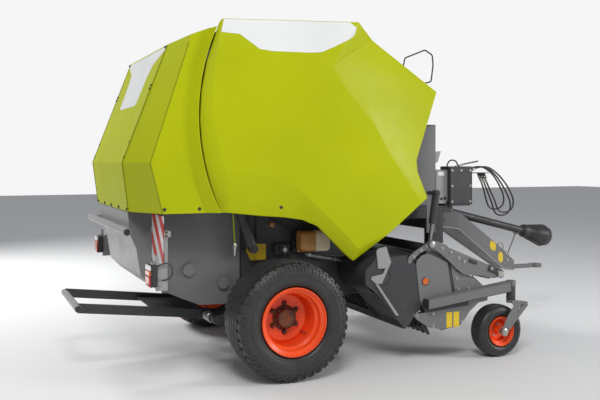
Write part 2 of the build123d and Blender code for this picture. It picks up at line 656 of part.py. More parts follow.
cylinder_pair("gate_ram", ram_foot, ram_head, ram_y, ram_r, ram_rod_r, ram_barrel, ram_rod_length,
              ram_ear_y + 13, 0.0)
lift_foot = (1400.0, 1290.0)
lift_head = (1335.0, 870.0)
lift_y = 790.0
lift_r, lift_rod_r = 30.0, 15.0
lift_ear_y = 840.0
cylinder_pair("lift_ram", lift_foot, lift_head, lift_y, lift_r, lift_rod_r, 250.0, 230.0, lift_ear_y - 1, 84.0)

# Ears and pins that carry the cylinders
with BuildPart() as ram_pins:
    for side, hand in SIDES:
        cross_rod(*ram_foot, 15, *sorted((hand * (wall_y + wall_t), hand * (ram_y + 30))))
        cross_rod(*lift_foot, 15, *sorted((hand * (wall_y + wall_t + 60), hand * (lift_y + 30))))
ram_pins.part.label = "ram_pins"
export_step(ram_pins.part, "parts/ram_pins.step")

# Bar, boards and lamps behind the tailgate
bar_x, bar_z = -1100.0, 1065.0
bar_half = 820.0
board_x = -900.0
with BuildPart() as light_carrier:
    cross_rod(bar_x, bar_z, 28, -bar_half, bar_half)
    cross_rod(bar_x, bar_z, 23, -bar_half - 1, bar_half + 1, Mode.SUBTRACT)
    for side, hand in SIDES:
        plate([(-1045.3, 1042), (-1050.4, 1120), (-1066, 1120), (-1080, 1090), (-1080, 1050), (-1060, 1042)],
              hand * (wall_y - 60), hand * (wall_y - 50))
        block((board_x, board_x + 40), (hand * (wall_y + wall_t), hand * 1075), (1045, 1085))
        block((-958, board_x + 20), (hand * 1050, hand * 1075), (690, 1085))
light_carrier.part.label = "light_carrier"
export_step(light_carrier.part, "parts/light_carrier.step")

with BuildPart() as hazard_boards:
    for side, hand in SIDES:
        block((board_x - 4, board_x - 0.3), (hand * 706, hand * 1046), (850, 1182))
hazard_boards.part.label = "hazard_boards"
export_step(hazard_boards.part, "parts/hazard_boards.step")

with BuildPart() as rear_lamps:
    for side, hand in SIDES:
        block((-1018, -958.3), (hand * 1010, hand * 1130), (725, 868))
rear_lamps.part.label = "rear_lamps"
export_step(rear_lamps.part, "parts/rear_lamps.step")

# Pickup: end plates, beams, auger housings, castor beams and the bands between the tines
pickup_plate = ((1034, 766), (1120, 845), (1235, 850), (1339, 777), (1385, 700), (1560, 640), (1690, 530),
                (1480, 420), (1431, 274), (1257, 249), (1176, 287), (1078, 455), (960, 300), (920, 300),
                (716, 545), (600, 640), (600, 740), (690, 830), (765, 835), (935, 838))
castor_beam = ((1100.0, 467.0), (1900.0, 560.0))
beam_size = 72.0
guard_hinge = (1154.0, 916.0)
guard_y = 1100.0
guard_pin_r = 12.0
tine_count = 28
tine_pitch = 72.0
first_tine_y = -tine_pitch * (tine_count - 1) / 2
top_beam_x, top_beam_z = 1240.0, 860.0
with BuildPart() as pickup_frame:
    cross_rod(top_beam_x, top_beam_z, 38, -pickup_y, pickup_y)
    block((925, 955), (-pickup_y, pickup_y), (285, 335))
    block((935, 965), (-pickup_y, pickup_y), (800, 840))
    for side, hand in SIDES:
        arm_ys = (hand * (wall_y + 18), hand * (wall_y + 30))
        plate([(640, 640), (640, 740), (690, 790), (800, 800), (960, 840), (965, 800), (850, 690), (955, 335),
               (925, 285), (740, 570)], *arm_ys)
        cross_rod(rotor_x, rotor_z, rotor_core_r + run_gap, *sorted((arm_ys[0] - hand * 5, arm_ys[1] + hand * 5)),
                  Mode.SUBTRACT)
        housing_ys = sorted((hand * (wall_y + 30), hand * pickup_y))
        with BuildSketch(side_at(housing_ys[1])) as housing:
            with BuildLine():
                inner_arc = CenterArc((rotor_x, rotor_z), auger_r + 14, 80, 185)
                outer_arc = CenterArc((rotor_x, rotor_z), auger_r + 18, 80, 185)
                Line(inner_arc @ 0, outer_arc @ 0)
                Line(inner_arc @ 1, outer_arc @ 1)
            make_face()
        extrude(housing.sketch, amount=housing_ys[1] - housing_ys[0])
        plate([(762, 829), (762, 833), (936, 840), (936, 836)], *housing_ys)
        plate([(728, 547), (728, 551), (926, 334), (926, 330)], *housing_ys)
        plate([(1240, 830), (1240, 890), (1330, 902), (1362, 880), (1352, 850), (1300, 835)],
              hand * lift_ear_y, hand * (lift_ear_y + 12))
    for n in range(tine_count + 1):
        y = first_tine_y + (n - 0.5) * tine_pitch
        with BuildSketch(side_at(y + 20)) as band:
            with BuildLine():
                front_arc = CenterArc((reel_x, reel_z), band_r, -110, 212)
                Line(front_arc @ 1, (950, 803))
                Line((950, 803), (950, 806))
                back_arc = CenterArc((reel_x, reel_z), band_r + 3, -110, 212)
                Line((950, 806), back_arc @ 1)
                Line(back_arc @ 0, (940, 287))
                Line((940, 287), (940, 290))
                Line((940, 290), front_arc @ 0)
            make_face()
        extrude(band.sketch, amount=40)
pickup_frame.part.label = "pickup_frame"
export_step(pickup_frame.part, "parts/pickup_frame.step")

# Pickup's end plates with the guard's pins, the castor beams and the reel's journals
for side, hand in SIDES:
    with BuildPart() as pickup_side:
        plate(pickup_plate, hand * pickup_y, hand * (pickup_y + plate_t))
        plate([(1120, 835), (1130, guard_hinge[1] + 22), (1170, guard_hinge[1] + 26), (1190, guard_hinge[1]), (1235, 840)],
              hand * pickup_y, hand * (pickup_y + plate_t))
        cross_rod(*guard_hinge, guard_pin_r, *sorted((hand * pickup_y, hand * (guard_y + 16))))
        cross_rod(rotor_x, rotor_z, rotor_core_r + run_gap, *sorted((hand * (pickup_y - 5), hand * (pickup_y + 20))),
                  Mode.SUBTRACT)
        box_beam((castor_beam[0][0], hand * castor_y, castor_beam[0][1]),
                 (castor_x, hand * castor_y, 555), beam_size, beam_size)
        rod((castor_x, hand * castor_y, 452), (castor_x, hand * castor_y, 600), 36)
        rod((castor_x, hand * castor_y, 440), (castor_x, hand * castor_y, 590), castor_pin_r + run_gap, Mode.SUBTRACT)
        cross_rod(reel_x, reel_z, journal_r, *sorted((hand * (pickup_y - 46), hand * (pickup_y + 4))))
    pickup_side.part.label = f"pickup_side_{side}"
    export_step(pickup_side.part, f"parts/pickup_side_{side}.step")

# Reel: a tube with four tine bars between two discs
with BuildPart() as pickup_reel:
    cross_rod(reel_x, reel_z, 34, -pickup_y + 12, pickup_y - 12)
    for bar in range(4):
        angle = radians(20 + 90 * bar)
        bar_at = (reel_x + tine_bar_ring * cos(angle), reel_z + tine_bar_ring * sin(angle))
        cross_rod(*bar_at, 14, -pickup_y + 24, pickup_y - 24)
        tip = (reel_x + tine_r * cos(angle), reel_z + tine_r * sin(angle))
        for n in range(tine_count):
            y = first_tine_y + n * tine_pitch
            box_beam((bar_at[0], y, bar_at[1]), (tip[0], y, tip[1]), 6, 6)
    for disc_y in (-pickup_y + 30, -350, 350, pickup_y - 30):
        cross_rod(reel_x, reel_z, tine_bar_ring + 16, disc_y - 4, disc_y + 4)
    for hand in (-1, 1):
        cross_rod(reel_x, reel_z, journal_r + run_gap, *sorted((hand * (pickup_y - 50), hand * pickup_y)), Mode.SUBTRACT)
pickup_reel.part.label = "pickup_reel"
export_step(pickup_reel.part, "parts/pickup_reel.step")

# Crop guard: two arms, a roller and the plate behind it
guard_roller = (1790.0, 655.0)
with BuildPart() as crop_guard:
    for side, hand in SIDES:
        box_beam((guard_hinge[0], hand * guard_y, guard_hinge[1]), (guard_roller[0] + 30, hand * guard_y, guard_roller[1] - 8),
                 14, 60)
        cross_rod(*guard_hinge, 26, *sorted((hand * (guard_y - 7), hand * (guard_y + 7))))
        cross_rod(*guard_hinge, guard_pin_r + run_gap, *sorted((hand * (guard_y - 20), hand * (guard_y + 20))),
                  Mode.SUBTRACT)
    cross_rod(*guard_roller, 58, -960, 960)
    cross_rod(*guard_roller, 16, -guard_y, guard_y)
    cross_rod(1640, 716, 22, -guard_y, guard_y)
crop_guard.part.label = "crop_guard"
export_step(crop_guard.part, "parts/crop_guard.step")

# Castoring gauge wheels
gauge_profile = (           # radius, distance from the tyre's middle
    (104, 56), (120, 60), (128, 73), (152, 82), (178, 78), (196, 62),
)
for side, hand in SIDES:
    with BuildPart() as castor_fork:
        rod((castor_x, hand * castor_y, 425), (castor_x, hand * castor_y, 585), castor_pin_r)
        rod((castor_x, hand * castor_y, 425), (castor_x, hand * castor_y, 449), 36)
        fork_y = gauge_y + gauge_width / 2 + 16
        box_beam((castor_x - 20, hand * castor_y, 437), (1990, hand * (fork_y + 5), 420), 56, 24)
        with BuildSketch(side_at(hand * fork_y + (10 if hand > 0 else 0))) as arm:
            with BuildLine():
                Polyline((2012, 430), (1960, 432), (1945, 380), (gauge_x - 30, gauge_r), (gauge_x, gauge_r - 30),
                         (gauge_x + 30, gauge_r - 8), (2015, 400), close=True)
            make_face()
        extrude(arm.sketch, amount=10)
        cross_rod(gauge_x, gauge_r, 16, *sorted((hand * (gauge_y - 40), hand * (fork_y + 5))))
    castor_fork.part.label = f"castor_fork_{side}"
    export_step(castor_fork.part, f"parts/castor_fork_{side}.step")

    small_plane = Plane(origin=(axle_x + gauge_x, hand * gauge_y, gauge_r), x_dir=(1, 0, 0), z_dir=(0, 0, 1))
    small_axis = Axis(small_plane.origin, (0, 1, 0))
    with BuildPart() as gauge_tyre:
        with BuildSketch(small_plane):
            with BuildLine():
                near = Polyline(*gauge_profile)
                ThreePointArc(gauge_profile[-1], (gauge_r, 0), (gauge_profile[-1][0], -gauge_profile[-1][1]))
                far = Polyline(*[(r, -w) for r, w in reversed(gauge_profile)])
                Line(far @ 1, near @ 0)
            make_face()
        revolve(axis=small_axis)
    gauge_tyre.part.label = f"gauge_tyre_{side}"
    export_step(gauge_tyre.part, f"parts/gauge_tyre_{side}.step")

    gauge_rim_profile = ((116, 78), (116, 66), (104, 61), (104, 45), (92, 38), (92, -38), (104, -45), (104, -61), (116, -66),
                         (116, -78), (111, -78), (111, -68), (98, -59), (98, -44), (86, -36), (86, -4), (60, 6), (30, 6),
                         (30, 12), (62, 12), (86, 3), (86, 36), (98, 44), (98, 59), (111, 68), (111, 78))
    with BuildPart() as gauge_rim:
        with BuildSketch(small_plane):
            with BuildLine():
                Polyline(*[(r, hand * w) for r, w in gauge_rim_profile], close=True)
            make_face()
        revolve(axis=small_axis)
        cross_rod(gauge_x, gauge_r, 32, *sorted((hand * (gauge_y - 45), hand * (gauge_y + 60))))
        cross_rod(gauge_x, gauge_r, 16 + run_gap, *sorted((hand * (gauge_y - 50), hand * (gauge_y + 70))),
                  Mode.SUBTRACT)
    gauge_rim.part.label = f"gauge_rim_{side}"
    export_step(gauge_rim.part, f"parts/gauge_rim_{side}.step")

# Bale ramp: a frame of two arms with a plate at the front, turning on the pin behind the axle
ramp_tail_x, ramp_tail_z = -1369.0, 487.0
ramp_half = 385.0
with BuildPart() as bale_ramp:
    cross_rod(ramp_pin_x, ramp_pin_z, ramp_pin_r, -ramp_arm_y - 30, ramp_arm_y + 30)
    cross_rod(ramp_tail_x, ramp_tail_z, 24, -ramp_half - 20, ramp_half + 20)
    for side, hand in SIDES:
        box_beam((ramp_pin_x, hand * (ramp_half - 20), ramp_pin_z), (ramp_tail_x, hand * (ramp_half - 20), ramp_tail_z),
                 40, 66)
    plate([(-800, 422), (-800, 416), (ramp_pin_x, 386), (ramp_pin_x, 392)], -ramp_half + 30, ramp_half - 30)
bale_ramp.part.label = "bale_ramp"
export_step(bale_ramp.part, "parts/bale_ramp.step")

# Oil tank for the chains
with BuildPart() as oil_tank:
    with BuildSketch(side_at(-780)):
        with BuildLine():
            Polyline((240, 862), (440, 862), (462, 890), (462, 985), (440, 1015), (240, 1015), (214, 985), (214, 890),
                     close=True)
        make_face()
    extrude(amount=140)
    block((300, 380), (-790, -wall_y - wall_t), (900, 960))
oil_tank.part.label = "oil_tank"
export_step(oil_tank.part, "parts/oil_tank.step")

# Roller drives: sprockets on the shafts and a chain round them, on each side
chain_y = 690.0
chain_t = 14.0
chain_depth = 12.0
sprockets = {               # side: length, height and radius of each sprocket
    "right": [(*ring_point(angle), 78.0) for angle in reversed(fixed_roller_angles[:4])],
    "left": [(*ring_point(fixed_roller_angles[4]), 105.0), (1650.0, 1130.0, 70.0)],
}


def belt(wheels, grow):
    """The outline of a belt round wheels given in turn, leftwards round the loop, as a sketch."""
    turns = []
    for n, (x, z, radius) in enumerate(wheels):
        next_x, next_z, next_radius = wheels[(n + 1) % len(wheels)]
        heading = atan2(next_z - z, next_x - x)
        turns.append(heading - acos((radius - next_radius) / hypot(next_x - x, next_z - z)))
    with BuildSketch(side_at(0)) as outline:
        with BuildLine():
            for n, (x, z, radius) in enumerate(wheels):
                start, end = turns[n - 1], turns[n]
                while end < start:
                    end += 2 * pi
                rim_at = [(x + (radius + grow) * cos(a), z + (radius + grow) * sin(a))
                          for a in (start, (start + end) / 2, end)]
                ThreePointArc(*rim_at)
                next_x, next_z, next_radius = wheels[(n + 1) % len(wheels)]
                Line(rim_at[2], (next_x + (next_radius + grow) * cos(end), next_z + (next_radius + grow) * sin(end)))
        make_face()
    return outline.sketch


for side, hand in SIDES:
    plane_y = hand * chain_y
    with BuildPart() as roller_drive:
        chain_at = Location((0, plane_y + chain_t / 2, 0))
        extrude(chain_at * belt(sprockets[side], chain_depth / 2), amount=chain_t)
        extrude(chain_at * belt(sprockets[side], -chain_depth / 2), amount=chain_t, mode=Mode.SUBTRACT)
        for x, z, radius in sprockets[side]:
            cross_rod(x, z, radius - chain_depth / 2 + 1, plane_y - 5, plane_y + 5)
            cross_rod(x, z, 30, *sorted((hand * (wall_y + 34 if x < post_x[0] else gearbox_half), plane_y)))
    roller_drive.part.label = f"roller_drive_{side}"
    export_step(roller_drive.part, f"parts/roller_drive_{side}.step")

# Valve box on the right front post, with the bar that holds the hoses' far ends
hose_r = 7.0
hose_ys = (-672.0, -634.0, -596.0)
hose_start, hose_end = (1833.0, 1477.6), (1968.0, 1402.0)
hose_route = (              # length and height of the corners between the two ends
    (1955, 1520), (2090, 1450), (2195, 1330), (2262, 1200), (2222, 1112), (2092, 1107), (2052, 1225), (2004, 1318),
)
gland_foot = along(hose_start, hose_route[0], -34)
socket_top = along(hose_end, hose_route[-1], -49)
hose_bar_z = (1446.0, 1452.0)
with BuildPart() as valve_box:
    block((1472, 1590), (-660, -560), (1214, 1475))
    block((1590, 1811), (-700, -560), (1186, 1500))
    block((1467, 1480), (-640, -580), (1240, 1440))
    block((1811, 1990), (-694, -574), hose_bar_z)
    for y in hose_ys:
        rod((gland_foot[0], y, gland_foot[1]), (hose_start[0], y, hose_start[1]), 12)
        rod((hose_end[0], y, hose_end[1]), (socket_top[0], y, socket_top[1]), 12)
valve_box.part.label = "valve_box"
export_step(valve_box.part, "parts/valve_box.step")

# Hoses: each leaves its gland, hangs in a loop and comes back up to its socket
hose_shifts = (             # sideways, forward and down at each hose's lower corners
    (-14, 0, 0), (6, 14, -30), (20, -16, 22),
)


def bend_radii(points):
    """Radii that leave a tenth of each straight run between its two bends."""
    radii = []
    for before, corner, after in zip(points, points[1:], points[2:]):
        turn = (corner - before).get_angle(after - corner)
        shorter = min((corner - before).length, (after - corner).length)
        radii.append(0.45 * shorter / tan(radians(turn) / 2))
    return radii


for n, (y, (aside, ahead, down)) in enumerate(zip(hose_ys, hose_shifts)):
    lower = range(2, len(hose_route) - 1)
    points = [place(hose_start[0], y, hose_start[1])]
    for k, (x, z) in enumerate(hose_route):
        share = 1.0 if k in lower else 0.0
        points.append(place(x + ahead * share, y + aside * share, z + down * share))
    points.append(place(hose_end[0], y, hose_end[1]))
    radii = bend_radii(points)
    print("hose", n + 1, "radii", [round(r) for r in radii])
    with BuildPart() as hose:
        with BuildLine() as route:
            FilletPolyline(*points, radius=radii)
        with BuildSketch(Plane(origin=points[0], z_dir=points[1] - points[0])):
            Circle(hose_r)
        sweep(path=route.line)
    hose.part.label = f"hose_{n + 1}"
    export_step(hose.part, f"parts/hose_{n + 1}.step")
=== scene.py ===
"""Round baler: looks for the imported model, laid out as an add-on and run as a script."""

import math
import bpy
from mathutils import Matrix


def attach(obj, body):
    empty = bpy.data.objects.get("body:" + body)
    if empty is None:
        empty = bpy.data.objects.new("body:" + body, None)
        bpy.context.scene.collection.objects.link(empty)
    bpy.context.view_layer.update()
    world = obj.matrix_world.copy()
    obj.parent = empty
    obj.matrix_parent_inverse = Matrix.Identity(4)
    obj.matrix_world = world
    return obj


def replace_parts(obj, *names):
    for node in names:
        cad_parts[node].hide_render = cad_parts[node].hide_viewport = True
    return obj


bl_info = {
    "name": "Round baler",
    "version": (1, 0, 0),
    "blender": (4, 5, 0),
    "location": "View3D > Sidebar > Baler",
    "description": "Finishes, tread, trim and stage of a round baler",
    "category": "Object",
}

import bpy
from bpy.props import FloatProperty, FloatVectorProperty, IntProperty, PointerProperty
from mathutils import Matrix, Vector

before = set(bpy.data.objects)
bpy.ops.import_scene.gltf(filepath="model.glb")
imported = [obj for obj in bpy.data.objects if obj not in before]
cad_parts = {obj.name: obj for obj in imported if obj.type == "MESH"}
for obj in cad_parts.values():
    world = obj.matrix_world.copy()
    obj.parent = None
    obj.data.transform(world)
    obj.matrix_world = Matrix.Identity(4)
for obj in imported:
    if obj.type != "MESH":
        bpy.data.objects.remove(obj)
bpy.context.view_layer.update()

AXLE_X = -0.925             # axle, from the middle of the whole length, in metres
OUT = (0, -1, 0)            # outwards from the machine's right side
ACROSS = (0, 1, 0)
UP = (0, 0, 1)


def spot(x, y, z):
    """A point given in millimetres from the axle, in metres in the model's frame."""
    return Vector((AXLE_X + x / 1000, y / 1000, z / 1000))


class BalerSizes(bpy.types.PropertyGroup):
    """Sizes of the trim, in metres."""

    tread_lugs: IntProperty(name="Tread lugs", description="Lugs round each main tyre", default=40, min=8,
                            max=80)
    groove_depth: FloatProperty(name="Groove depth", description="Depth of the tread's grooves",
                                default=0.012, unit="LENGTH")
    panel_thickness: FloatProperty(name="Panel thickness", description="Thickness of a plain panel or plate",
                                   default=0.0008, unit="LENGTH")


def colour(name, description, default):
    """A colour that the user may change."""
    return FloatVectorProperty(name=name, description=description, subtype="COLOR", size=3, default=default)


class BalerColours(bpy.types.PropertyGroup):
    """Colours of the finishes, as linear values."""

    lime: colour("Body paint", "Green of the panels", (0.430, 0.470, 0.004))
    orange: colour("Rim paint", "Orange red of the rims", (0.90, 0.090, 0.013))
    dark: colour("Frame paint", "Dark grey of the frame", (0.042, 0.043, 0.046))
    grey: colour("Plate paint", "Grey of the plates", (0.155, 0.155, 0.158))


# Finishes

HOOD_EDGE_X, HOOD_EDGE_Z = 1.196, 2.101     # the hood's front edge, from the axle and from the ground
STRIPE_PITCH = 0.198        # from one red stripe to the next, upright
OIL_END = 0.349             # where the oil in the tank ends, from the axle


def fill(node, inputs):
    """Links sockets to a node's inputs and writes plain values into the others."""
    for key, value in inputs.items():
        socket = node.inputs[key]
        if isinstance(value, bpy.types.NodeSocket):
            node.id_data.links.new(value, socket)
        else:
            socket.default_value = (*value[:3], 1.0) if socket.type == "RGBA" else value


class Finish:
    """A material in the making: each call adds nodes and gives the socket that comes out."""

    def __init__(self, name):
        self.material = bpy.data.materials.new(name)
        self.material.use_nodes = True
        self.nodes = self.material.node_tree.nodes
        self.nodes.clear()
        self.shader = self.nodes.new("ShaderNodeBsdfPrincipled")
        fill(self.nodes.new("ShaderNodeOutputMaterial"), {"Surface": self.shader.outputs["BSDF"]})

    def add(self, kind, inputs, output=0, **settings):
        """One node with its settings and inputs."""
        node = self.nodes.new(f"ShaderNode{kind}")
        for key, value in settings.items():
            setattr(node, key, value)
        fill(node, inputs)
        return node.outputs[output]

    def point(self, stretch=(1, 1, 1)):
        """Object coordinates, stretched along each axis."""
        return self.add("Mapping", {"Scale": stretch, "Vector": self.add("TexCoord", {}, "Object")})

    def along(self, axis):
        """One of the object coordinates, in metres."""
        return self.add("SeparateXYZ", {"Vector": self.add("TexCoord", {}, "Object")}, axis)

    def noise(self, scale, detail=4.0, rough=0.55, stretch=(1, 1, 1)):
        """Noise on object coordinates."""
        return self.add("TexNoise", {"Scale": scale, "Detail": detail, "Roughness": rough,
                                     "Vector": self.point(stretch)}, "Fac")

    def cells(self, scale):
        """Distance from the middles of small cells."""
        return self.add("TexVoronoi", {"Scale": scale, "Vector": self.point()}, "Distance")

    def ramp(self, value, low, high, low_value=0.0, high_value=1.0):
        """A value mapped from one range to another and held at its ends."""
        return self.add("MapRange", {"Value": value, "From Min": low, "From Max": high,
                                     "To Min": low_value, "To Max": high_value}, "Result")

    def math(self, operation, *values):
        """One step of arithmetic between sockets or numbers."""
        return self.add("Math", dict(enumerate(values)), operation=operation)

    def mix(self, factor, first, second):
        """Two colours mixed by a factor."""
        return self.add("Mix", {0: factor, 6: first, 7: second}, 2, data_type="RGBA")

    def shades(self, factor, paint, low, high):
        """A paint between two shades of itself."""
        return self.mix(factor, [c * low for c in paint], [min(1.0, c * high) for c in paint])

    def bump(self, height, strength, distance):
        """Relief from a height."""
        return self.add("Bump", {"Strength": strength, "Distance": distance, "Height": height}, "Normal")

    def done(self, base, roughness, normal, **inputs):
        """The material, with what the shader shows."""
        fill(self.shader, {"Base Color": base, "Roughness": roughness,
                           **{key.replace("_", " "): value for key, value in inputs.items()}})
        if normal:
            fill(self.shader, {"Normal": normal})
        return self.material


def painted(name, paint, roughness, coat=0.0, dust=0.25, dust_top=1.1, gloss=0.4, wire=None):
    """Sprayed paint: a slight drift of colour, orange peel, faint wear and dust towards the ground.

    What stands above the hood's front edge, its bent wire, may have a colour of its own.
    """
    it = Finish(name)
    base = it.shades(it.ramp(it.noise(1.3, 3.0), 0.3, 0.7), paint, 0.94, 1.05)
    fine = it.ramp(it.noise(48.0, 6.0, 0.7), 0.50, 0.78)
    broad = it.ramp(it.noise(3.5, 3.0), 0.38, 0.70, 0.15, 1.0)
    low = it.ramp(it.along("Z"), 0.15, dust_top, 1.0, 0.0)
    settled = it.math("MULTIPLY", it.math("MULTIPLY", fine, broad), it.math("MULTIPLY", low, dust))
    worn = it.math("ADD", it.noise(7.0, 5.0), it.math("MULTIPLY", settled, 0.5))
    look = it.mix(settled, base, (0.30, 0.26, 0.20))
    if wire:
        ahead = it.math("GREATER_THAN", it.along("X"), AXLE_X + HOOD_EDGE_X)
        above = it.math("GREATER_THAN", it.along("Z"), HOOD_EDGE_Z)
        look = it.mix(it.math("MULTIPLY", ahead, above), look, wire)
    return it.done(look, it.ramp(worn, 0.3, 0.9, roughness * 0.85, roughness * 1.35),
                   it.bump(it.noise(140.0, 3.0), 0.045, 0.001),
                   Specular_IOR_Level=gloss, Coat_Weight=coat, Coat_Roughness=0.15)


def rubber(name, black=(0.027, 0.027, 0.028), roughness=0.45):
    """Tyre rubber: dull black with dust in its low places and fine grain."""
    it = Finish(name)
    patch = it.ramp(it.noise(7.0, 5.0), 0.42, 0.72, 0.0, 0.5)
    return it.done(it.mix(patch, black, (0.055, 0.050, 0.044)),
                   it.ramp(it.noise(14.0, 4.0), 0.3, 0.7, roughness * 0.85, roughness * 1.15),
                   it.bump(it.noise(420.0, 3.0), 0.12, 0.001))


def plastic(name, paint, roughness):
    """Moulded plastic with a fine grain."""
    it = Finish(name)
    return it.done(it.shades(it.ramp(it.noise(5.0, 3.0), 0.3, 0.7), paint, 0.85, 1.12),
                   it.ramp(it.noise(20.0, 3.0), 0.3, 0.7, roughness * 0.8, roughness * 1.2),
                   it.bump(it.noise(380.0, 2.0), 0.10, 0.0006))


def steel(name, metal=(0.42, 0.42, 0.43), roughness=0.32):
    """Bare machined or zinc-plated steel with faint streaks."""
    it = Finish(name)
    streak = it.noise(40.0, 4.0, stretch=(1.0, 8.0, 1.0))
    return it.done(it.shades(it.ramp(streak, 0.35, 0.65), metal, 0.8, 1.0),
                   it.ramp(streak, 0.3, 0.7, roughness * 0.75, roughness * 1.3),
                   it.bump(it.noise(220.0, 3.0), 0.04, 0.0005), Metallic=1.0)


def rusty(name):
    """Cast iron that has rusted lightly."""
    it = Finish(name)
    spread = it.ramp(it.noise(26.0, 6.0, 0.7), 0.40, 0.62)
    return it.done(it.mix(spread, (0.045, 0.030, 0.024), (0.20, 0.062, 0.022)),
                   it.ramp(spread, 0.0, 1.0, 0.55, 0.9), it.bump(it.noise(130.0, 5.0, 0.7), 0.35, 0.001))


def striped(name):
    """Retroreflective board: red and white diagonal stripes that run down towards the outside."""
    it = Finish(name)
    slant = it.math("ADD", it.along("Z"), it.math("ABSOLUTE", it.along("Y")))
    red = it.math("GREATER_THAN", it.math("FRACT", it.math("DIVIDE", slant, STRIPE_PITCH)), 0.5)
    glint = it.ramp(it.cells(260.0), 0.0, 0.6, 0.86, 1.0)
    stripes = it.mix(red, (0.72, 0.72, 0.70), (0.62, 0.018, 0.014))
    return it.done(it.mix(it.ramp(it.noise(9.0), 0.45, 0.75, 0.0, 0.25), stripes, (0.25, 0.22, 0.18)),
                   it.ramp(glint, 0.86, 1.0, 0.28, 0.42), None)


def lens(name, tint):
    """Ribbed lamp or reflector lens."""
    it = Finish(name)
    cells = it.cells(190.0)
    return it.done(it.shades(it.ramp(cells, 0.1, 0.6, 0.0, 0.45), tint, 1.0, 0.35), 0.12,
                   it.bump(cells, 0.25, 0.001), Coat_Weight=0.6)


def tank_plastic(name):
    """Translucent tank: cream plastic with brown oil behind it up to one end."""
    it = Finish(name)
    edge = it.math("ADD", it.along("X"), it.math("MULTIPLY", it.noise(12.0, 2.0), 0.02))
    oil = it.ramp(edge, AXLE_X + OIL_END - 0.004, AXLE_X + OIL_END + 0.004, 1.0, 0.0)
    return it.done(it.mix(oil, (0.86, 0.70, 0.50), (0.46, 0.22, 0.05)), 0.38,
                   it.bump(it.noise(90.0, 3.0), 0.06, 0.001), Subsurface_Weight=0.1)


finishes = {}


def make_finishes():
    """Every finish of the machine, by name."""
    look = bpy.context.scene.baler_colours
    lime, dark = tuple(look.lime), tuple(look.dark)
    finishes.update(
        lime=painted("lime_gloss", lime, 0.36, dust=0.05, gloss=0.12),
        hood=painted("hood_lime", lime, 0.36, dust=0.05, gloss=0.12, wire=dark),
        lime_dark=painted("seam_lime", [c * 0.42 for c in lime], 0.5, dust=0.2, gloss=0.12),
        orange=painted("rim_orange", tuple(look.orange), 0.30, coat=0.10, dust=0.30, dust_top=0.9),
        dark=painted("frame_dark", dark, 0.46, dust=0.35),
        grey=painted("plate_grey", tuple(look.grey), 0.42, dust=0.30),
        light=painted("bracket_light", (0.30, 0.30, 0.30), 0.40),
        white=painted("panel_white", (0.78, 0.79, 0.78), 0.32, coat=0.2, dust=0.0),
        yellow=painted("plate_yellow", (0.72, 0.50, 0.02), 0.40, dust=0.1),
        tyre=rubber("tyre_rubber"),
        hose=rubber("hose_rubber", (0.020, 0.020, 0.021), 0.42),
        black=plastic("guard_black", (0.030, 0.030, 0.032), 0.48),
        steel=steel("bright_steel"),
        zinc=steel("zinc_bolt", (0.50, 0.49, 0.46), 0.38),
        chain=steel("chain_steel", (0.16, 0.14, 0.12), 0.45),
        rust=rusty("hub_rust"),
        stripes=striped("board_stripes"),
        lamp=lens("lamp_red", (0.55, 0.02, 0.015)),
        reflector=lens("reflector_orange", (0.85, 0.16, 0.01)),
        tank=tank_plastic("tank_plastic"),
    )


NODE_STARTS = {             # finish: starts of the names of the nodes that have it; the rest is dark
    "tyre": ("tyre", "gauge_tyre"), "orange": ("rim", "gauge_rim"), "lime": ("shield", "gate_shell"),
    "hood": ("hood",), "light": ("gate_sheet",),
    "grey": ("drawbar", "crop_guard", "castor_fork", "gate_walls"),
    "black": ("gate_ram_barrel", "pto_shaft"), "steel": ("gate_ram_rod", "lift_ram_rod", "feed_floor"),
    "chain": ("roller_drive",), "stripes": ("hazard_boards",), "lamp": ("rear_lamps",),
    "tank": ("oil_tank",), "hose": ("hose",),
}


# Modelling helpers; those that take single lengths, widths and heights take millimetres from the axle

def settle():
    """Object mode with nothing selected."""
    if bpy.context.object and bpy.context.object.mode != "OBJECT":
        bpy.ops.object.mode_set(mode="OBJECT")
    bpy.ops.object.select_all(action="DESELECT")


def chosen(piece):
    """Makes a piece active and the only one selected."""
    settle()
    bpy.context.view_layer.objects.active = piece
    piece.select_set(True)
    return piece


def placed(name, data):
    """A new object in the scene that holds the data."""
    thing = bpy.data.objects.new(name, data)
    bpy.context.collection.objects.link(thing)
    return thing


def named(name):
    """The active object, named, with its place moved into its mesh."""
    piece = bpy.context.object
    piece.name = piece.data.name = name
    bpy.ops.object.transform_apply(location=True, rotation=True, scale=True)
    return piece


def modified(piece, kind, **settings):
    """Applies a modifier to a piece."""
    chosen(piece)
    modifier = piece.modifiers.new(kind.lower(), kind)
    for key, value in settings.items():
        setattr(modifier, key, value)
    bpy.ops.object.modifier_apply(modifier=modifier.name)
    return piece


def round_edges(piece, width, segments=2, angle=40):
    """Rounds the edges of a piece that turn by more than an angle; the width is in metres."""
    return modified(piece, "BEVEL", width=width, segments=segments, limit_method="ANGLE",
                    angle_limit=math.radians(angle))


def smooth(piece, angle=35):
    """Smooth shading below an angle."""
    chosen(piece)
    bpy.ops.object.shade_smooth_by_angle(angle=math.radians(angle))
    return piece


def edit(piece):
    """Opens a piece in edit mode with everything selected."""
    chosen(piece)
    bpy.ops.object.mode_set(mode="EDIT")
    bpy.ops.mesh.select_all(action="SELECT")


def outward(piece):
    """Merges doubles and turns the faces outwards."""
    edit(piece)
    bpy.ops.mesh.remove_doubles(threshold=0.00005)
    bpy.ops.mesh.normals_make_consistent(inside=False)
    bpy.ops.object.mode_set(mode="OBJECT")
    return piece


def joined(name, pieces):
    """Several pieces made one mesh."""
    settle()
    for piece in pieces:
        piece.select_set(True)
    bpy.context.view_layer.objects.active = pieces[0]
    if len(pieces) > 1:
        bpy.ops.object.join()
    piece = bpy.context.object
    piece.name = piece.data.name = name
    return piece


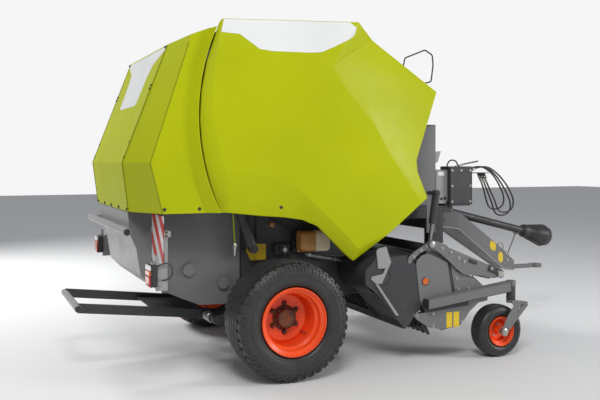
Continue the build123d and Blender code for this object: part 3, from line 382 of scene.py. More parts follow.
def copied(piece, name, move):
    """A copy of a piece with its own mesh, moved by a matrix."""
    twin = piece.copy()
    twin.data = piece.data.copy()
    twin.name = twin.data.name = name
    bpy.context.collection.objects.link(twin)
    twin.data.transform(move)
    return twin


def mirrored(piece, name):
    """A copy of a piece on the machine's other side."""
    twin = copied(piece, name, Matrix.Scale(-1, 4, ACROSS))
    twin.data.flip_normals()
    return twin


def turned_by(centre, angle, axis="Y"):
    """A rotation about a line through a point."""
    return Matrix.Translation(centre) @ Matrix.Rotation(angle, 4, axis) @ Matrix.Translation(-centre)


def dress(piece, finish, body):
    """Gives a piece its finish and the body that it rides on."""
    piece.data.materials.clear()
    piece.data.materials.append(finishes[finish])
    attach(piece, body)
    return piece


def pair(piece, finish, body):
    """Dresses a piece of the right side and its twin on the left."""
    twin = mirrored(piece, piece.name.replace("right", "left"))
    return dress(piece, finish, body), dress(twin, finish, body.replace("right", "left"))


def block(name, low, high, bevel=0.0, segments=2):
    """A square block between two corners, its edges rounded, all in metres."""
    settle()
    bpy.ops.mesh.primitive_cube_add(size=1, location=(Vector(low) + Vector(high)) / 2)
    bpy.context.object.scale = [abs(b - a) for a, b in zip(low, high)]
    piece = named(name)
    return round_edges(piece, bevel, segments) if bevel else piece


def box(name, xs, ys, zs, bevel=0.0, segments=2):
    """A square block between two lengths, two widths and two heights."""
    return block(name, spot(xs[0], ys[0], zs[0]), spot(xs[1], ys[1], zs[1]), bevel / 1000, segments)


def bar(name, start, end, radius, sides=20):
    """A round bar from one point to another, all in metres."""
    settle()
    run = Vector(end) - Vector(start)
    bpy.ops.mesh.primitive_cylinder_add(vertices=sides, radius=radius, depth=run.length,
                                        location=(Vector(start) + Vector(end)) / 2)
    bpy.context.object.rotation_mode = "QUATERNION"
    bpy.context.object.rotation_quaternion = Vector(UP).rotation_difference(run)
    return smooth(named(name))


def plate(name, corners, depth, bevel=0.0):
    """A plate cut to a flat outline of points and extruded by a vector, all in metres."""
    settle()
    bpy.ops.mesh.primitive_circle_add(vertices=len(corners), fill_type="NGON")
    piece = bpy.context.object
    piece.name = piece.data.name = name
    for vertex, corner in zip(piece.data.vertices, corners):
        vertex.co = corner
    edit(piece)
    bpy.ops.mesh.extrude_region_move(TRANSFORM_OT_translate={"value": tuple(depth)})
    bpy.ops.object.mode_set(mode="OBJECT")
    outward(piece)
    return round_edges(piece, bevel) if bevel else piece


def side_plate(name, outline, y_first, y_last, bevel=0.0):
    """A plate whose outline is seen from the side; its bevel is in metres."""
    return plate(name, [spot(x, y_first, z) for x, z in outline], (0, (y_last - y_first) / 1000, 0), bevel)


def line(name, points, radius, curved=True, turns=6, sides=4):
    """A round line bent along points in metres, still a curve; its radius is in millimetres."""
    curve = bpy.data.curves.new(name, "CURVE")
    curve.dimensions = "3D"
    spline = curve.splines.new("NURBS" if curved else "POLY")
    spline.points.add(len(points) - 1)
    for control, point in zip(spline.points, points):
        control.co = (*point, 1)
    if curved:
        spline.use_endpoint_u = True
        spline.order_u = 3
        spline.resolution_u = turns
    curve.bevel_depth = radius / 1000
    curve.bevel_resolution = sides
    curve.use_fill_caps = True
    return placed(name, curve)


def tube(name, points, radius, curved=True, sides=4):
    """A pipe, wire or rod bent along points."""
    chosen(line(name, [spot(*point) for point in points], radius, curved, sides=sides))
    bpy.ops.object.convert(target="MESH")
    piece = bpy.context.object
    piece.data.name = name
    return smooth(outward(piece), 40)


def turned(name, profile, centre, axis=ACROSS, start=UP, steps=48):
    """A form spun about an axis through a point in metres, from radii and distances along the axis."""
    along, out = Vector(axis), Vector(start)
    mesh = bpy.data.meshes.new(name)
    points = [Vector(centre) + along * (w / 1000) + out * (r / 1000) for r, w in profile]
    mesh.from_pydata(points, [(n, (n + 1) % len(points)) for n in range(len(points))], [])
    piece = placed(name, mesh)
    edit(piece)
    bpy.ops.mesh.spin(steps=steps, angle=math.tau, center=tuple(centre), axis=tuple(along))
    bpy.ops.object.mode_set(mode="OBJECT")
    return smooth(outward(piece))


def turned_out(name, profile, x, z, steps):
    """A form spun about a line across the machine, from radii and distances out from its middle."""
    return turned(name, profile, spot(x, 0, z), OUT, steps=steps)


def turned_up(name, profile, x, y, steps):
    """A form spun about an upright line, from radii and heights."""
    return turned(name, profile, spot(x, y, 0), UP, (1, 0, 0), steps)


def bolt(name, place, axis, across, height):
    """A hexagon bolt's head on its washer."""
    turn = Vector(UP).rotation_difference(Vector(axis))
    parts = []
    for sides, radius, depth, lift in ((6, across / 1.732, height, height / 2 + 2.0),
                                       (16, across * 0.8, 2.0, 1.0)):
        settle()
        bpy.ops.mesh.primitive_cylinder_add(vertices=sides, radius=radius / 1000, depth=depth / 1000,
                                            location=spot(*place) + turn @ Vector((0, 0, lift / 1000)))
        bpy.context.object.rotation_mode = "QUATERNION"
        bpy.context.object.rotation_quaternion = turn
        parts.append(round_edges(named(name), 0.0008, 1))
    return joined(name, parts)


def bolts(name, places, across=18.0, height=9.0, axis=OUT):
    """Several like bolts as one piece: one is modelled and copied to each place."""
    first = bolt(name, places[0], axis, across, height)
    moves = [spot(*place) - spot(*places[0]) for place in places[1:]]
    return joined(name, [first, *(copied(first, name, Matrix.Translation(move)) for move in moves)])


class BALER_OT_finishes(bpy.types.Operator):
    """Gives every CAD node its finish."""

    bl_idname = "baler.finishes"
    bl_label = "Finishes"

    def execute(self, context):
        make_finishes()
        for name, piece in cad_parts.items():
            look = "dark"
            for finish, starts in NODE_STARTS.items():
                if name.startswith(starts):
                    look = finish
            piece.data.materials.clear()
            piece.data.materials.append(finishes[look])
        return {"FINISHED"}


HOSE_YS = (-672.0, -634.0, -596.0)
HOSE_START, HOSE_END = (1833.0, 1477.6), (1968.0, 1402.0)
HOSE_ROUTE = ((1955, 1520), (2090, 1450), (2195, 1330), (2262, 1200), (2222, 1112), (2092, 1107),
              (2052, 1225), (2004, 1318))
HOSE_SHIFTS = ((-14, 0, 0), (6, 14, -30), (20, -16, 22))    # aside, ahead and down, for each hose


class BALER_OT_hoses(bpy.types.Operator):
    """Lays the hoses in their hanging loops."""

    bl_idname = "baler.hoses"
    bl_label = "Hoses"

    def execute(self, context):
        for n, (y, (aside, ahead, down)) in enumerate(zip(HOSE_YS, HOSE_SHIFTS)):
            points = [spot(HOSE_START[0], y, HOSE_START[1])]
            for k, (x, z) in enumerate(HOSE_ROUTE):
                share = 1 if 2 <= k < len(HOSE_ROUTE) - 1 else 0
                points.append(spot(x + ahead * share, y + aside * share, z + down * share))
            points.append(spot(HOSE_END[0], y, HOSE_END[1]))
            piece = line(f"hose_line_{n + 1}", points, 7, turns=12)
            piece.data.materials.append(finishes["hose"])
            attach(piece, "chassis")
            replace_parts(piece, f"hose_{n + 1}")
        return {"FINISHED"}


# Side shields

SHIELD_FACE = 1040.0        # outer face of the shields, from the centre line
FACET_START = (363.0, 2243.0)
FRONT_FACET = (0.7873, 0.6165, 0.2687)      # the way in which the slanted front face deepens, and its slope
BROW_FACET = (0.8553, -0.5182, 120 / 212.3)     # the same for the small facet between top corner and brow
TOP_CORNER, BROW, BELLY = (569, 2583), (750, 2472), (839, 1012)
CREASE = ((355, 2242), (453, 2096), (552, 1990), (690, 1840), (814, 1632), (891, 1526), (970, 1425),
          (1058, 1302), (1121, 1233))
NOSE = ((1369, 2105), (1092, 1559), (1092, 1467), (1171, 1266))
REAR_CREASE = ((-485, 2539), (-535, 2247), (-556, 2040), (-556, 1835), (-521, 1680), (-485, 1553),
               (-449, 1460), (-436, 1340), (-434, 1190))
REAR_EDGE = ((-500, 2524), (-592, 2250), (-632, 2040), (-642, 1835), (-630, 1680), (-609, 1553),
             (-580, 1440), (-543, 1330), (-484, 1192))
CREASE_INSETS = (0, 0, 0, 0, 0, 0, 0, 18, 40)
EDGE_INSETS = (14, 20, 22, 22, 22, 22, 24, 36, 56)
BEVEL_CREASE = ((-176, 1454), (-54, 1432), (61, 1374), (211, 1241), (404, 1068), (560, 905))
BEVEL_EDGE = ((-176, 1160), (-16, 1147), (130, 1124), (250, 1074), (490, 847), (543, 805))
HEM_INSET = 42.0
SHEET_MIDDLE = (330, -990, 1750)
STRAP_XS = (-120.0, 400.0)
SHEET, EDGE_RADIUS = 0.003, 0.007
FLANGE, FLANGE_IN = 0.045, 0.008    # depth of the sheet's turned edge, and how far it is drawn in
SHIELD_HINGE = (905, 2535)  # width and height of the shields' hinge line
WHITE_PANEL = ((-497, 2444), (-361, 2437), (-302, 2398), (-213, 2340), (-115, 2331), (179, 2335),
               (266, 2344), (363, 2386), (490, 2450), (544, 2542), (494, 2574), (-478, 2534))


def facet_depth(x, z, facet=FRONT_FACET):
    """How far a slanted facet lies inside the flat face at a point seen from the side."""
    along_x, along_z, slope = facet
    return max(0.0, slope * (along_x * (x - FACET_START[0]) + along_z * (z - FACET_START[1])))


class BALER_OT_shields(bpy.types.Operator):
    """Presses each side shield from one sheet: flat face, front facet, lower bevel and drawn-in rear edge."""

    bl_idname = "baler.shields"
    bl_label = "Side shields"

    def execute(self, context):
        points, at = [], {}

        def corners(places, insets=None):
            found = []
            for (x, z), inset in zip(places, insets or [0.0] * len(places)):
                if (x, z) not in at:
                    at[(x, z)] = len(points)
                    points.append(spot(x, inset - SHIELD_FACE, z))
                found.append(at[(x, z)])
            return found

        crease = corners(CREASE)
        top, = corners([TOP_CORNER])
        brow, *nose = corners((BROW, *NOSE), [facet_depth(x, z) for x, z in (BROW, *NOSE)])
        rear = corners(REAR_CREASE, CREASE_INSETS)
        lip = corners(REAR_EDGE, EDGE_INSETS)
        bevel = corners(BEVEL_CREASE)
        hem = corners(BEVEL_EDGE, [HEM_INSET] * len(BEVEL_EDGE))
        belly, = corners([BELLY])
        faces = [[rear[0], top, *crease, belly, *reversed(bevel), *reversed(rear[1:7])],
                 [top, brow, crease[0]], [belly, hem[-1], bevel[-1]],
                 [rear[6], rear[7], rear[8], hem[0], bevel[0]]]
        front = [brow, *(point for point in nose for _ in range(2))]
        for n in range(len(crease) - 1):
            faces.append(list(dict.fromkeys((crease[n], front[n], front[n + 1], crease[n + 1]))))
        for inner, outer in ((bevel, hem), (rear, lip)):
            for n in range(len(inner) - 1):
                faces.append([inner[n], outer[n], outer[n + 1], inner[n + 1]])
        mesh = bpy.data.meshes.new("shield_panel_right")
        mesh.from_pydata(points, [], faces)
        panel = placed("shield_panel_right", mesh)
        edit(panel)
        bpy.ops.mesh.delete_loose()
        bpy.ops.mesh.select_all(action="SELECT")
        bpy.ops.mesh.normals_make_consistent(inside=False)
        bpy.ops.object.mode_set(mode="OBJECT")
        if sum(face.normal.y * face.area for face in mesh.polygons) > 0:
            mesh.flip_normals()
        edit(panel)
        bpy.ops.mesh.region_to_loop()
        bpy.ops.mesh.extrude_edges_move(TRANSFORM_OT_translate={"value": (0, FLANGE, 0)})
        bpy.ops.object.mode_set(mode="OBJECT")
        middle = spot(*SHEET_MIDDLE)
        for vertex in [vertex for vertex in mesh.vertices if vertex.select]:
            inwards = Vector((middle.x - vertex.co.x, 0, middle.z - vertex.co.z)).normalized()
            vertex.co += inwards * FLANGE_IN
        round_edges(panel, EDGE_RADIUS, 3, 7)
        modified(panel, "SOLIDIFY", thickness=SHEET, offset=-1.0)
        smooth(panel, 40)
        for side, piece in zip(("right", "left"), pair(panel, "lime", "shield_right")):
            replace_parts(piece, f"shield_{side}")
        for side, hand in (("right", -1), ("left", 1)):
            straps = []
            for x in STRAP_XS:
                straps.append(box("strap", (x - 22, x - 10.3), (hand * 928, hand * 1034), (2515, 2541), 2))
                straps.append(turned("eye", [(12.6, 0), (24, 0), (24, 11.7), (12.6, 11.7)],
                                     spot(x - 22, hand * SHIELD_HINGE[0], SHIELD_HINGE[1]), (1, 0, 0),
                                     steps=32))
            dress(joined(f"shield_straps_{side}", straps), "dark", f"shield_{side}")
            latch = turned(f"shield_latch_{side}",
                           [(0.5, 2.4), (9, 2.4), (10, 1.2), (15, 1.2), (17, -1), (17, -6), (0.5, -6)],
                           spot(-39, hand * (SHIELD_FACE - 32), 1226), (0, hand, 0), steps=32)
            dress(latch, "black", f"shield_{side}")
        return {"FINISHED"}


class BALER_OT_panels(bpy.types.Operator):
    """Lays the plain white panels on the shields."""

    bl_idname = "baler.panels"
    bl_label = "White panels"

    def execute(self, context):
        depth = (0, -context.scene.baler_sizes.panel_thickness, 0)
        flat = plate("shield_white_right", [spot(x, -SHIELD_FACE, z) for x, z in WHITE_PANEL], depth)
        tip = [spot(x, drop - SHIELD_FACE, z) for x, drop, z in (
            (490, 0, 2450), (586, facet_depth(593, 2510, BROW_FACET), 2513), (544, 0, 2542))]
        tip = plate("shield_white_tip", tip, depth)
        pair(joined("shield_white_right", [flat, tip]), "white", "shield_right")
        return {"FINISHED"}


# Wheels

WHEEL_Y, WHEEL_R = 1000.0, 425.0
CROWN_R, CROWN_RISE, CROWN_HALF = 412.5, 12.5, 150.0    # radius at the tread's edges, rise to its middle
SIDEWALL = [(216, 136), (232, 140), (247, 146), (252, 160), (258, 172), (266, 180), (282, 187), (300, 192),
            (322, 195), (350, 194), (372, 189), (390, 181), (402, 170), (408, 154)]     # radius, half width
RIB_MIDDLES = (-96.0, -58.0, -20.0, 20.0, 58.0, 96.0)
RIB_HALF, RIB_SWING, RIB_STEPS = 13.0, 4.5, 76
NUTS, NUT_R = 6, 104.0
HUB_RIBS, GAUGE_BOLTS = 8, 5
LUG_OUTLINE = ((-22, 362), (-20, 410), (20, 410), (22, 362), (10, 366), (8, 398), (-8, 398), (-10, 366))


def crown(w):
    """The tread's radius at a distance from the tyre's middle."""
    return CROWN_R + CROWN_RISE * (1 - (w / CROWN_HALF) ** 2)


def both_walls(wall, middle):
    """A tyre's profile from one sidewall, over the middle, to the other sidewall."""
    return [*wall, *middle, *((r, -w) for r, w in reversed(wall))]


class BALER_OT_tyres(bpy.types.Operator):
    """Moulds the main tyres: smooth carcass, wavy ribs round the crown and split blocks on the shoulders."""

    bl_idname = "baler.tyres"
    bl_label = "Main tyres"

    def execute(self, context):
        sizes = context.scene.baler_sizes
        groove = sizes.groove_depth * 1000
        centre = spot(0, -WHEEL_Y, WHEEL_R)
        floor = [(crown(w) - groove, w) for w in range(120, -121, -30)]
        pieces = [turned("tyre_carcass", both_walls(SIDEWALL, floor), centre, steps=96)]
        for middle in RIB_MIDDLES:
            top = crown(middle)
            half = ((-2 - groove, -2), (-1.5, 0), (0, 2))       # from the rib's top, from its side
            profile = [(top + drop, middle - RIB_HALF + step) for drop, step in half]
            profile += [(top + drop, middle + RIB_HALF - step) for drop, step in reversed(half)]
            rib = turned("tyre_rib", profile, centre, steps=RIB_STEPS)
            for vertex in rib.data.vertices:
                turn = math.atan2(vertex.co.x - centre.x, vertex.co.z - centre.z)
                odd = round(turn / math.tau * RIB_STEPS) % 2
                vertex.co.y += (RIB_SWING if odd else -RIB_SWING) / 1000
            pieces.append(rib)
        lug = plate("tyre_lug", [centre + Vector((t / 1000, -0.150, r / 1000)) for t, r in LUG_OUTLINE],
                    (0, -0.047, 0))
        for vertex in lug.data.vertices:        # its outer face leans in towards the crown
            if vertex.co.y < centre.y - 0.19:
                high = (vertex.co.z - centre.z) * 1000
                vertex.co.y += (max(0.0, high - 374) * 0.62 - 1.0) / 1000
        round_edges(lug, 0.002, 1)
        cap = block("tyre_lug_cap", centre + Vector((-0.021, -0.168, 0.396)),
                    centre + Vector((0.021, -0.117, 0.4155)))
        for vertex in cap.data.vertices:        # its outer upper edge is cut down
            if vertex.co.y < centre.y - 0.15 and vertex.co.z > centre.z + 0.41:
                vertex.co += Vector((0, 0.004, -0.0065))
        lug = joined("tyre_lug", [lug, round_edges(cap, 0.002, 1)])
        far_lug = mirrored(lug, "tyre_lug_far")
        far_lug.data.transform(Matrix.Translation((0, 2 * centre.y, 0)))
        for n in range(sizes.tread_lugs):
            for shift, pattern in ((0.0, lug), (0.5, far_lug)):
                if n or shift:
                    turn = turned_by(centre, math.tau * (n + shift) / sizes.tread_lugs)
                    pieces.append(copied(pattern, "tyre_lug_copy", turn))
        pieces.append(lug)
        bpy.data.objects.remove(far_lug)
        for r, w in ((330, 196.0), (272, 185.5)):
            profile = [(r - 2, w - 2), (r - 1, w + 0.6), (r + 1, w + 0.6), (r + 2, w - 2)]
            pieces.append(turned("tyre_line", profile, centre, OUT, steps=96))
        tyres = pair(joined("tyre_tread_right", pieces), "tyre", "wheel_right")
        for side, piece in zip(("right", "left"), tyres):
            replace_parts(piece, f"tyre_{side}")
        return {"FINISHED"}


def ringed(piece, centre, count):
    """A piece and its copies, evenly round a line across the machine."""
    turns = [turned_by(centre, math.tau * n / count) for n in range(1, count)]
    return [piece, *(copied(piece, f"{piece.name}_copy", turn) for turn in turns)]


class BALER_OT_hubs(bpy.types.Operator):
    """Adds the rusty hub, wheel nuts and valve to each main wheel."""

    bl_idname = "baler.hubs"
    bl_label = "Hubs"

    def execute(self, context):
        centre = spot(0, 0, WHEEL_R)
        hub = [turned_out("hub_cap", [(58.2, 957), (92, 964.6), (92, 968), (74, 974), (66, 992), (66, 1012),
                                      (62, 1020), (46, 1023), (40, 1021), (37, 1020), (0.5, 1019.6),
                                      (0.5, 1018.2), (58.2, 1018.2)], 0, WHEEL_R, 40)]
        for n in range(HUB_RIBS):
            rib = box("hub_rib", (-5, 5), (-1004, -966), (WHEEL_R + 60, WHEEL_R + 84), 2)
            rib.data.transform(turned_by(centre, math.tau * n / HUB_RIBS))
            hub.append(rib)
        first = (0, -964.2, WHEEL_R + NUT_R)
        stud = [(0.4, 0), (8, 0), (8, 27), (6.5, 29), (0.4, 29)]
        stud = turned("wheel_stud", stud, spot(*first), OUT, steps=16)
        nuts = ringed(joined("wheel_nut", [bolt("wheel_nut", first, OUT, 26, 17), stud]), centre, NUTS)
        valve = tube("rim_valve_right", [(120, -968, WHEEL_R - 100), (128, -985, WHEEL_R - 106),
                                         (138, -1010, WHEEL_R - 113), (142, -1024, WHEEL_R - 116)], 4.5)
        start, end = spot(141.6, -1021, WHEEL_R - 115.8), spot(146, -1040, WHEEL_R - 119)
        cap = bar("valve_cap", start, end, 0.0065, 12)
        pair(joined("hub_right", hub), "rust", "wheel_right")
        pair(joined("wheel_nuts_right", nuts), "rust", "wheel_right")
        pair(joined("rim_valve_right", [valve, cap]), "zinc", "wheel_right")
        return {"FINISHED"}


GAUGE_X, GAUGE_Y, GAUGE_R = 1785.0, 1060.0, 205.0
GAUGE_WALL = [(104, 56), (114, 58), (120, 62), (125, 70), (133, 77), (150, 81.5), (168, 80), (182, 74),
              (191, 66)]
GAUGE_CROWN = [(196.5, 60), (201, 44), (194, 41), (194, 33), (203, 30), (205, 10), (198, 7), (198, 0)]


class BALER_OT_gauge_wheels(bpy.types.Operator):
    """Grooves the pickup's small tyres and adds their bolts."""

    bl_idname = "baler.gauge_wheels"
    bl_label = "Gauge wheels"

    def execute(self, context):
        centre = spot(GAUGE_X, -GAUGE_Y, GAUGE_R)
        profile = both_walls(GAUGE_WALL, both_walls(GAUGE_CROWN[:-1], GAUGE_CROWN[-1:]))
        tyre = [turned("gauge_tread_right", profile, centre, steps=72)]
        for r in (150, 158):
            profile = [(r - 1.5, 78), (r - 0.7, 83), (r + 0.7, 83), (r + 1.5, 78)]
            for hand in (1, -1):
                tyre.append(turned("gauge_line", profile, centre, (0, -hand, 0), steps=72))
        tyres = pair(joined("gauge_tread_right", tyre), "tyre", "gauge_wheel_right")
        for side, piece in zip(("right", "left"), tyres):
            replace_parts(piece, f"gauge_tyre_{side}")
        first = bolt("gauge_bolt", (GAUGE_X, -GAUGE_Y - 5.0, GAUGE_R + 48), OUT, 15, 9)
        ring = ringed(first, centre, GAUGE_BOLTS)
        pair(joined("gauge_bolts_right", ring), "zinc", "gauge_wheel_right")
        return {"FINISHED"}


# Tailgate

REAR_FOOT, REAR_LEAN = (-1105, 1540), 325 / 850    # foot of the sloping upper rear panel, and how it leans
REAR_OUT = Vector((-0.934, 0, 0.357))       # outwards from that panel
LOW_OUT = (-0.991, 0, -0.13)                # outwards from the lower one
TAILGATE_WHITE = ((655, 2378), (640, 2350), (470, 2296), (392, 2262), (345, 2185), (318, 1985), (290, 1966))
TAILGATE_SEAMS = (((-1106.5, 662, 1540), (-781.5, 662, 2389)), ((-1061.3, 662, 1197), (-1106.5, 662, 1540)),
                  ((-981.5, 1001, 1540), (-897, 1001, 1197)), ((-981.5, 1001, 1540), (-713, 1001, 2372)))


def rear_point(y, z, proud):
    """A point on the sloping upper rear panel, at a distance out from it."""
    return spot(REAR_FOOT[0] + (z - REAR_FOOT[1]) * REAR_LEAN, y, z) + REAR_OUT * proud / 1000


class BALER_OT_tailgate(bpy.types.Operator):
    """Lays the tailgate's white panel, its seam strips and the bolts along its seams."""

    bl_idname = "baler.tailgate"
    bl_label = "Tailgate trim"

    def execute(self, context):
        right, *rest = TAILGATE_WHITE
        outline = [right, *((-y, z) for y, z in TAILGATE_WHITE), *reversed(rest)]
        panel = plate("tailgate_white", [rear_point(y, z, 0.1) for y, z in outline],
                      REAR_OUT * context.scene.baler_sizes.panel_thickness)
        dress(panel, "white", "tailgate")
        seam = [(x - 1, -648, z) for x, z in ((-791, 2372), (-893, 2095), (-903, 2069), (-1045, 1687),
                                              (-1086, 1581))]
        pair(bolts("tailgate_bolts_right", seam, 15, 6, REAR_OUT), "black", "tailgate")
        low = [(-1061 - (1212 - 1195) * 0.13, y, 1212) for y in (-617, -306, 0, 306, 617)]
        dress(bolts("tailgate_bolts_low", low, 16, 6, LOW_OUT), "black", "tailgate")
        flank = [(-884, -1000.2, 1225), (-640, -1000.2, 1225)]
        pair(bolts("tailgate_bolts_flank_right", flank, 15, 5), "black", "tailgate")
        seams = []
        for hand in (-1, 1):
            for ends in TAILGATE_SEAMS:
                start, end = (spot(x, hand * y, z) for x, y, z in ends)
                seams.append(bar("seam", start, end, 0.0028, 8))
        dress(joined("tailgate_seams", seams), "lime_dark", "tailgate")
        return {"FINISHED"}


# Pickup

PLATE_FACE = -1084.0        # outer face of the pickup's right end plate
PICKUP_PLATES = (           # name, outline, thickness and bevel in millimetres, finish
    ("cover", ((1029, 766), (1039, 799), (1081, 833), (1126, 844), (1179, 828), (1240, 800), (1313, 768),
               (1325, 689), (1352, 530), (1100, 500), (1074, 460), (1061, 508)), 5, 2.5, "grey"),
    ("front_plate", ((1345, 760), (1390, 694), (1470, 666), (1552, 633), (1640, 566), (1590, 540),
                     (1385, 524), (1352, 690)), 4, 1.5, "grey"),
    ("bracket", ((955, 786), (968, 830), (1026, 872), (1090, 905), (1117, 923), (1169, 940), (1215, 935),
                 (1302, 904), (1342, 862), (1330, 790), (1240, 838), (1180, 862), (1120, 872), (1060, 850),
                 (1000, 800), (975, 770)), 6, 2, "grey"),
    ("gusset", ((998, 392), (1029, 352), (1141, 280), (1260, 256), (1382, 262), (1430, 280), (1466, 312),
                (1512, 372), (1597, 436), (1684, 449), (1688, 492), (1600, 500), (1505, 478), (1505, 424),
                (1172, 398)),
     4, 1.5, "grey"),
    # The slot and recess plates are black sheets in the gap between the cover and the front plate and in the
    # hollow above the gusset: painted shade.
    ("slot", ((1326, 790), (1338, 786), (1352, 690), (1384, 532), (1356, 528), (1329, 689)), 2, 0, "black"),
    ("recess_shade", ((1100, 408), (1172, 398), (1505, 424), (1505, 486), (1300, 462), (1100, 440)),
     2, 0, "black"),
    ("light_bracket", ((688, 885), (706, 902), (771, 914), (813, 796), (735, 640), (690, 636), (643, 675),
                       (650, 696), (741, 711), (765, 752), (702, 752)), 8, 2, "light"),
    ("strap", ((675, 642), (705, 630), (874, 396), (850, 394)), 14, 2, "light"),
)
PLATE_BOLTS = ((1175, 918), (1240, 905), (1292, 882), (1010, 826), (1072, 872), (1345, 820), (1120, 900),
               (1410, 560), (1500, 560), (1395, 640), (1040, 376), (1180, 286), (1440, 300), (1180, 384))
GUARD_ARM = ((1128, 905), (1140, 938), (1166, 946), (1200, 934), (1326, 870), (1448, 822), (1566, 772),
             (1800, 690), (1806, 640), (1735, 624), (1632, 648), (1448, 668), (1368, 727), (1310, 782),
             (1200, 868), (1150, 890))
GUARD_BLOCK = ((1668, 690), (1800, 642), (1806, 690), (1690, 732))
GUARD_TINE = ((1742, 690), (1700, 640), (1640, 585), (1560, 560))
GUARD_LATCH = ((1490, 768), (1560, 742), (1570, 762), (1500, 790))
FORK_ARM = ((1850, 452), (1940, 440), (1948, 420), (1916, 366), (1812, 222), (1800, 186), (1780, 174),
            (1757, 186), (1752, 214), (1821, 340), (1875, 405), (1862, 418))
COMB_TOOTH = ((1096, 345), (1130, 345), (1146, 300), (1186, 215), (1172, 210), (1112, 290))


class BALER_OT_pickup(bpy.types.Operator):
    """Covers the pickup's end plates: raised plates, brackets, strap, reflector, caps and bolts."""

    bl_idname = "baler.pickup"
    bl_label = "Pickup ends"

    def execute(self, context):
        y = PLATE_FACE
        for name, outline, thick, bevel, finish in PICKUP_PLATES:
            pair(side_plate(f"pickup_{name}_right", outline, y, y - thick, bevel / 1000), finish, "pickup")
        for n, (low, high) in enumerate(((1301, 1352), (1365, 1417))):
            outline = ((low, 264), (high, 266), (high, 382), (low, 384))
            blank = side_plate(f"plate_yellow_{n + 1}_right", outline, y - 4, y - 5.2, 0.0005)
            pair(blank, "yellow", "pickup")
        for name, profile, finish in (
                ("pickup_reflector", [(0.4, 12), (18, 11.5), (25, 9), (27, 5), (0.4, 5)], "reflector"),
                ("pickup_reflector_ring", [(27.2, 9), (31, 9), (32, 7), (32, 5), (27.2, 5)], "black")):
            pair(turned(f"{name}_right", profile, spot(1112, y, 634), OUT, steps=32), finish, "pickup")
        pair(box("castor_beam_cap_right", (1096, 1108), (-1154, -1086), (433, 501), 3), "black", "pickup")
        rim = [(21, 600.5), (37.5, 600.5), (39, 597), (39, 560), (36.2, 560), (36.2, 600)]
        pair(turned_up("castor_tube_cap_right", rim, 1885, -1120, 32), "grey", "pickup")
        heads = [(x, y - (6 if z > 800 else 4), z) for x, z in PLATE_BOLTS]
        pair(bolts("pickup_bolts_right", heads, 17, 7), "zinc", "pickup")
        return {"FINISHED"}


class BALER_OT_guard(bpy.types.Operator):
    """Widens the crop guard's arms to their real plates and adds the end blocks, bolts and tines."""

    bl_idname = "baler.guard"
    bl_label = "Crop guard"

    def execute(self, context):
        for name, outline, inner, outer, bevel, finish in (
                ("arm", GUARD_ARM, -1092.5, -1109, 0.002, "grey"),
                ("block", GUARD_BLOCK, -1109, -1122, 0.003, "dark"),
                ("latch", GUARD_LATCH, -1109, -1119, 0.002, "black")):
            pair(side_plate(f"guard_{name}_right", outline, inner, outer, bevel), finish, "crop_guard")
        for name, profile, x, z in (
                ("roller", [(16, 1110), (28, 1110), (30, 1113), (30, 1124), (26, 1128), (0.5, 1128),
                            (0.5, 1110)], 1790, 655),
                ("hinge", [(0.5, 1117), (22, 1117), (24, 1119), (24, 1124), (16, 1128), (0.5, 1128)],
                 1154, 916)):
            pair(turned_out(f"guard_{name}_cap_right", profile, x, z, 28), "zinc", "crop_guard")
        heads = [(1250, -1109, 882), (1330, -1109, 848), (1450, -1109, 770), (1700, -1122, 705),
                 (1770, -1122, 672), (1400, -1109, 800)]
        pair(bolts("guard_bolts_right", heads, 18, 8), "zinc", "crop_guard")
        tines = [tube("guard_tine", [(x, y, z) for x, z in GUARD_TINE], 4, sides=1)
                 for y in range(-900, 901, 75)]
        dress(joined("guard_tines", tines), "dark", "crop_guard")
        return {"FINISHED"}


class BALER_OT_pickup_arms(bpy.types.Operator):
    """Adds the bright faces of the castor beams and the comb under the pickup."""

    bl_idname = "baler.pickup_arms"
    bl_label = "Pickup beams and comb"

    def execute(self, context):
        face = ((1100, 434), (1100, 502), (1852, 590), (1860, 521))
        pair(side_plate("castor_face_right", face, -1156.2, -1159, 0.001), "grey", "pickup")
        top = ((1100, 503.5), (1850, 591.5), (1850, 594.5), (1100, 506.5))
        pair(side_plate("castor_top_right", top, -1088, -1156), "grey", "pickup")
        comb = [side_plate("comb_tooth", COMB_TOOTH, y - 13, y + 13) for y in range(-1022, 1023, 73)]
        comb.append(box("comb_rail", (1090, 1134), (-1075, 1075), (318, 348), 2))
        dress(joined("pickup_comb", comb), "dark", "pickup")
        return {"FINISHED"}


class BALER_OT_forks(bpy.types.Operator):
    """Widens each castor fork's arm into its bent plate and adds the wheel's axle cap."""

    bl_idname = "baler.forks"
    bl_label = "Castor forks"

    def execute(self, context):
        pair(side_plate("fork_plate_right", FORK_ARM, -1168.3, -1176, 0.002), "grey", "castor_right")
        cap = [(0.5, 1176), (30, 1176), (30, 1182), (20, 1186), (20, 1192), (0.5, 1193)]
        pair(turned_out("fork_cap_right", cap, 1783, 206, 28), "zinc", "castor_right")
        return {"FINISHED"}


# Front end

HOUSING_BLOCKS = (          # lengths, widths, heights, bevel
    ((1596, 1806), (-703.5, -700.2), (1196, 1488), 3), ((1592, 1810), (-702, -558), (1500.2, 1505), 2),
    ((1594, 1600), (-706, -700), (1192, 1494), 1.5), ((1800, 1810), (-706, -700), (1192, 1494), 1.5),
    ((1640, 1800), (-690, -570), (1176, 1186), 2), ((1560, 1640), (-650, -560), (1120, 1214), 3),
)
COVER_BLOCKS = (
    ((1482, 1588), (-662.5, -660.2), (1216, 1474), 1.5), ((1482, 1588), (-664, -560), (1475.2, 1478), 1.2),
    ((1580, 1589.8), (-666, -660), (1216, 1474), 1.5), ((1490, 1580), (-668, -660), (1196, 1222), 2),
)


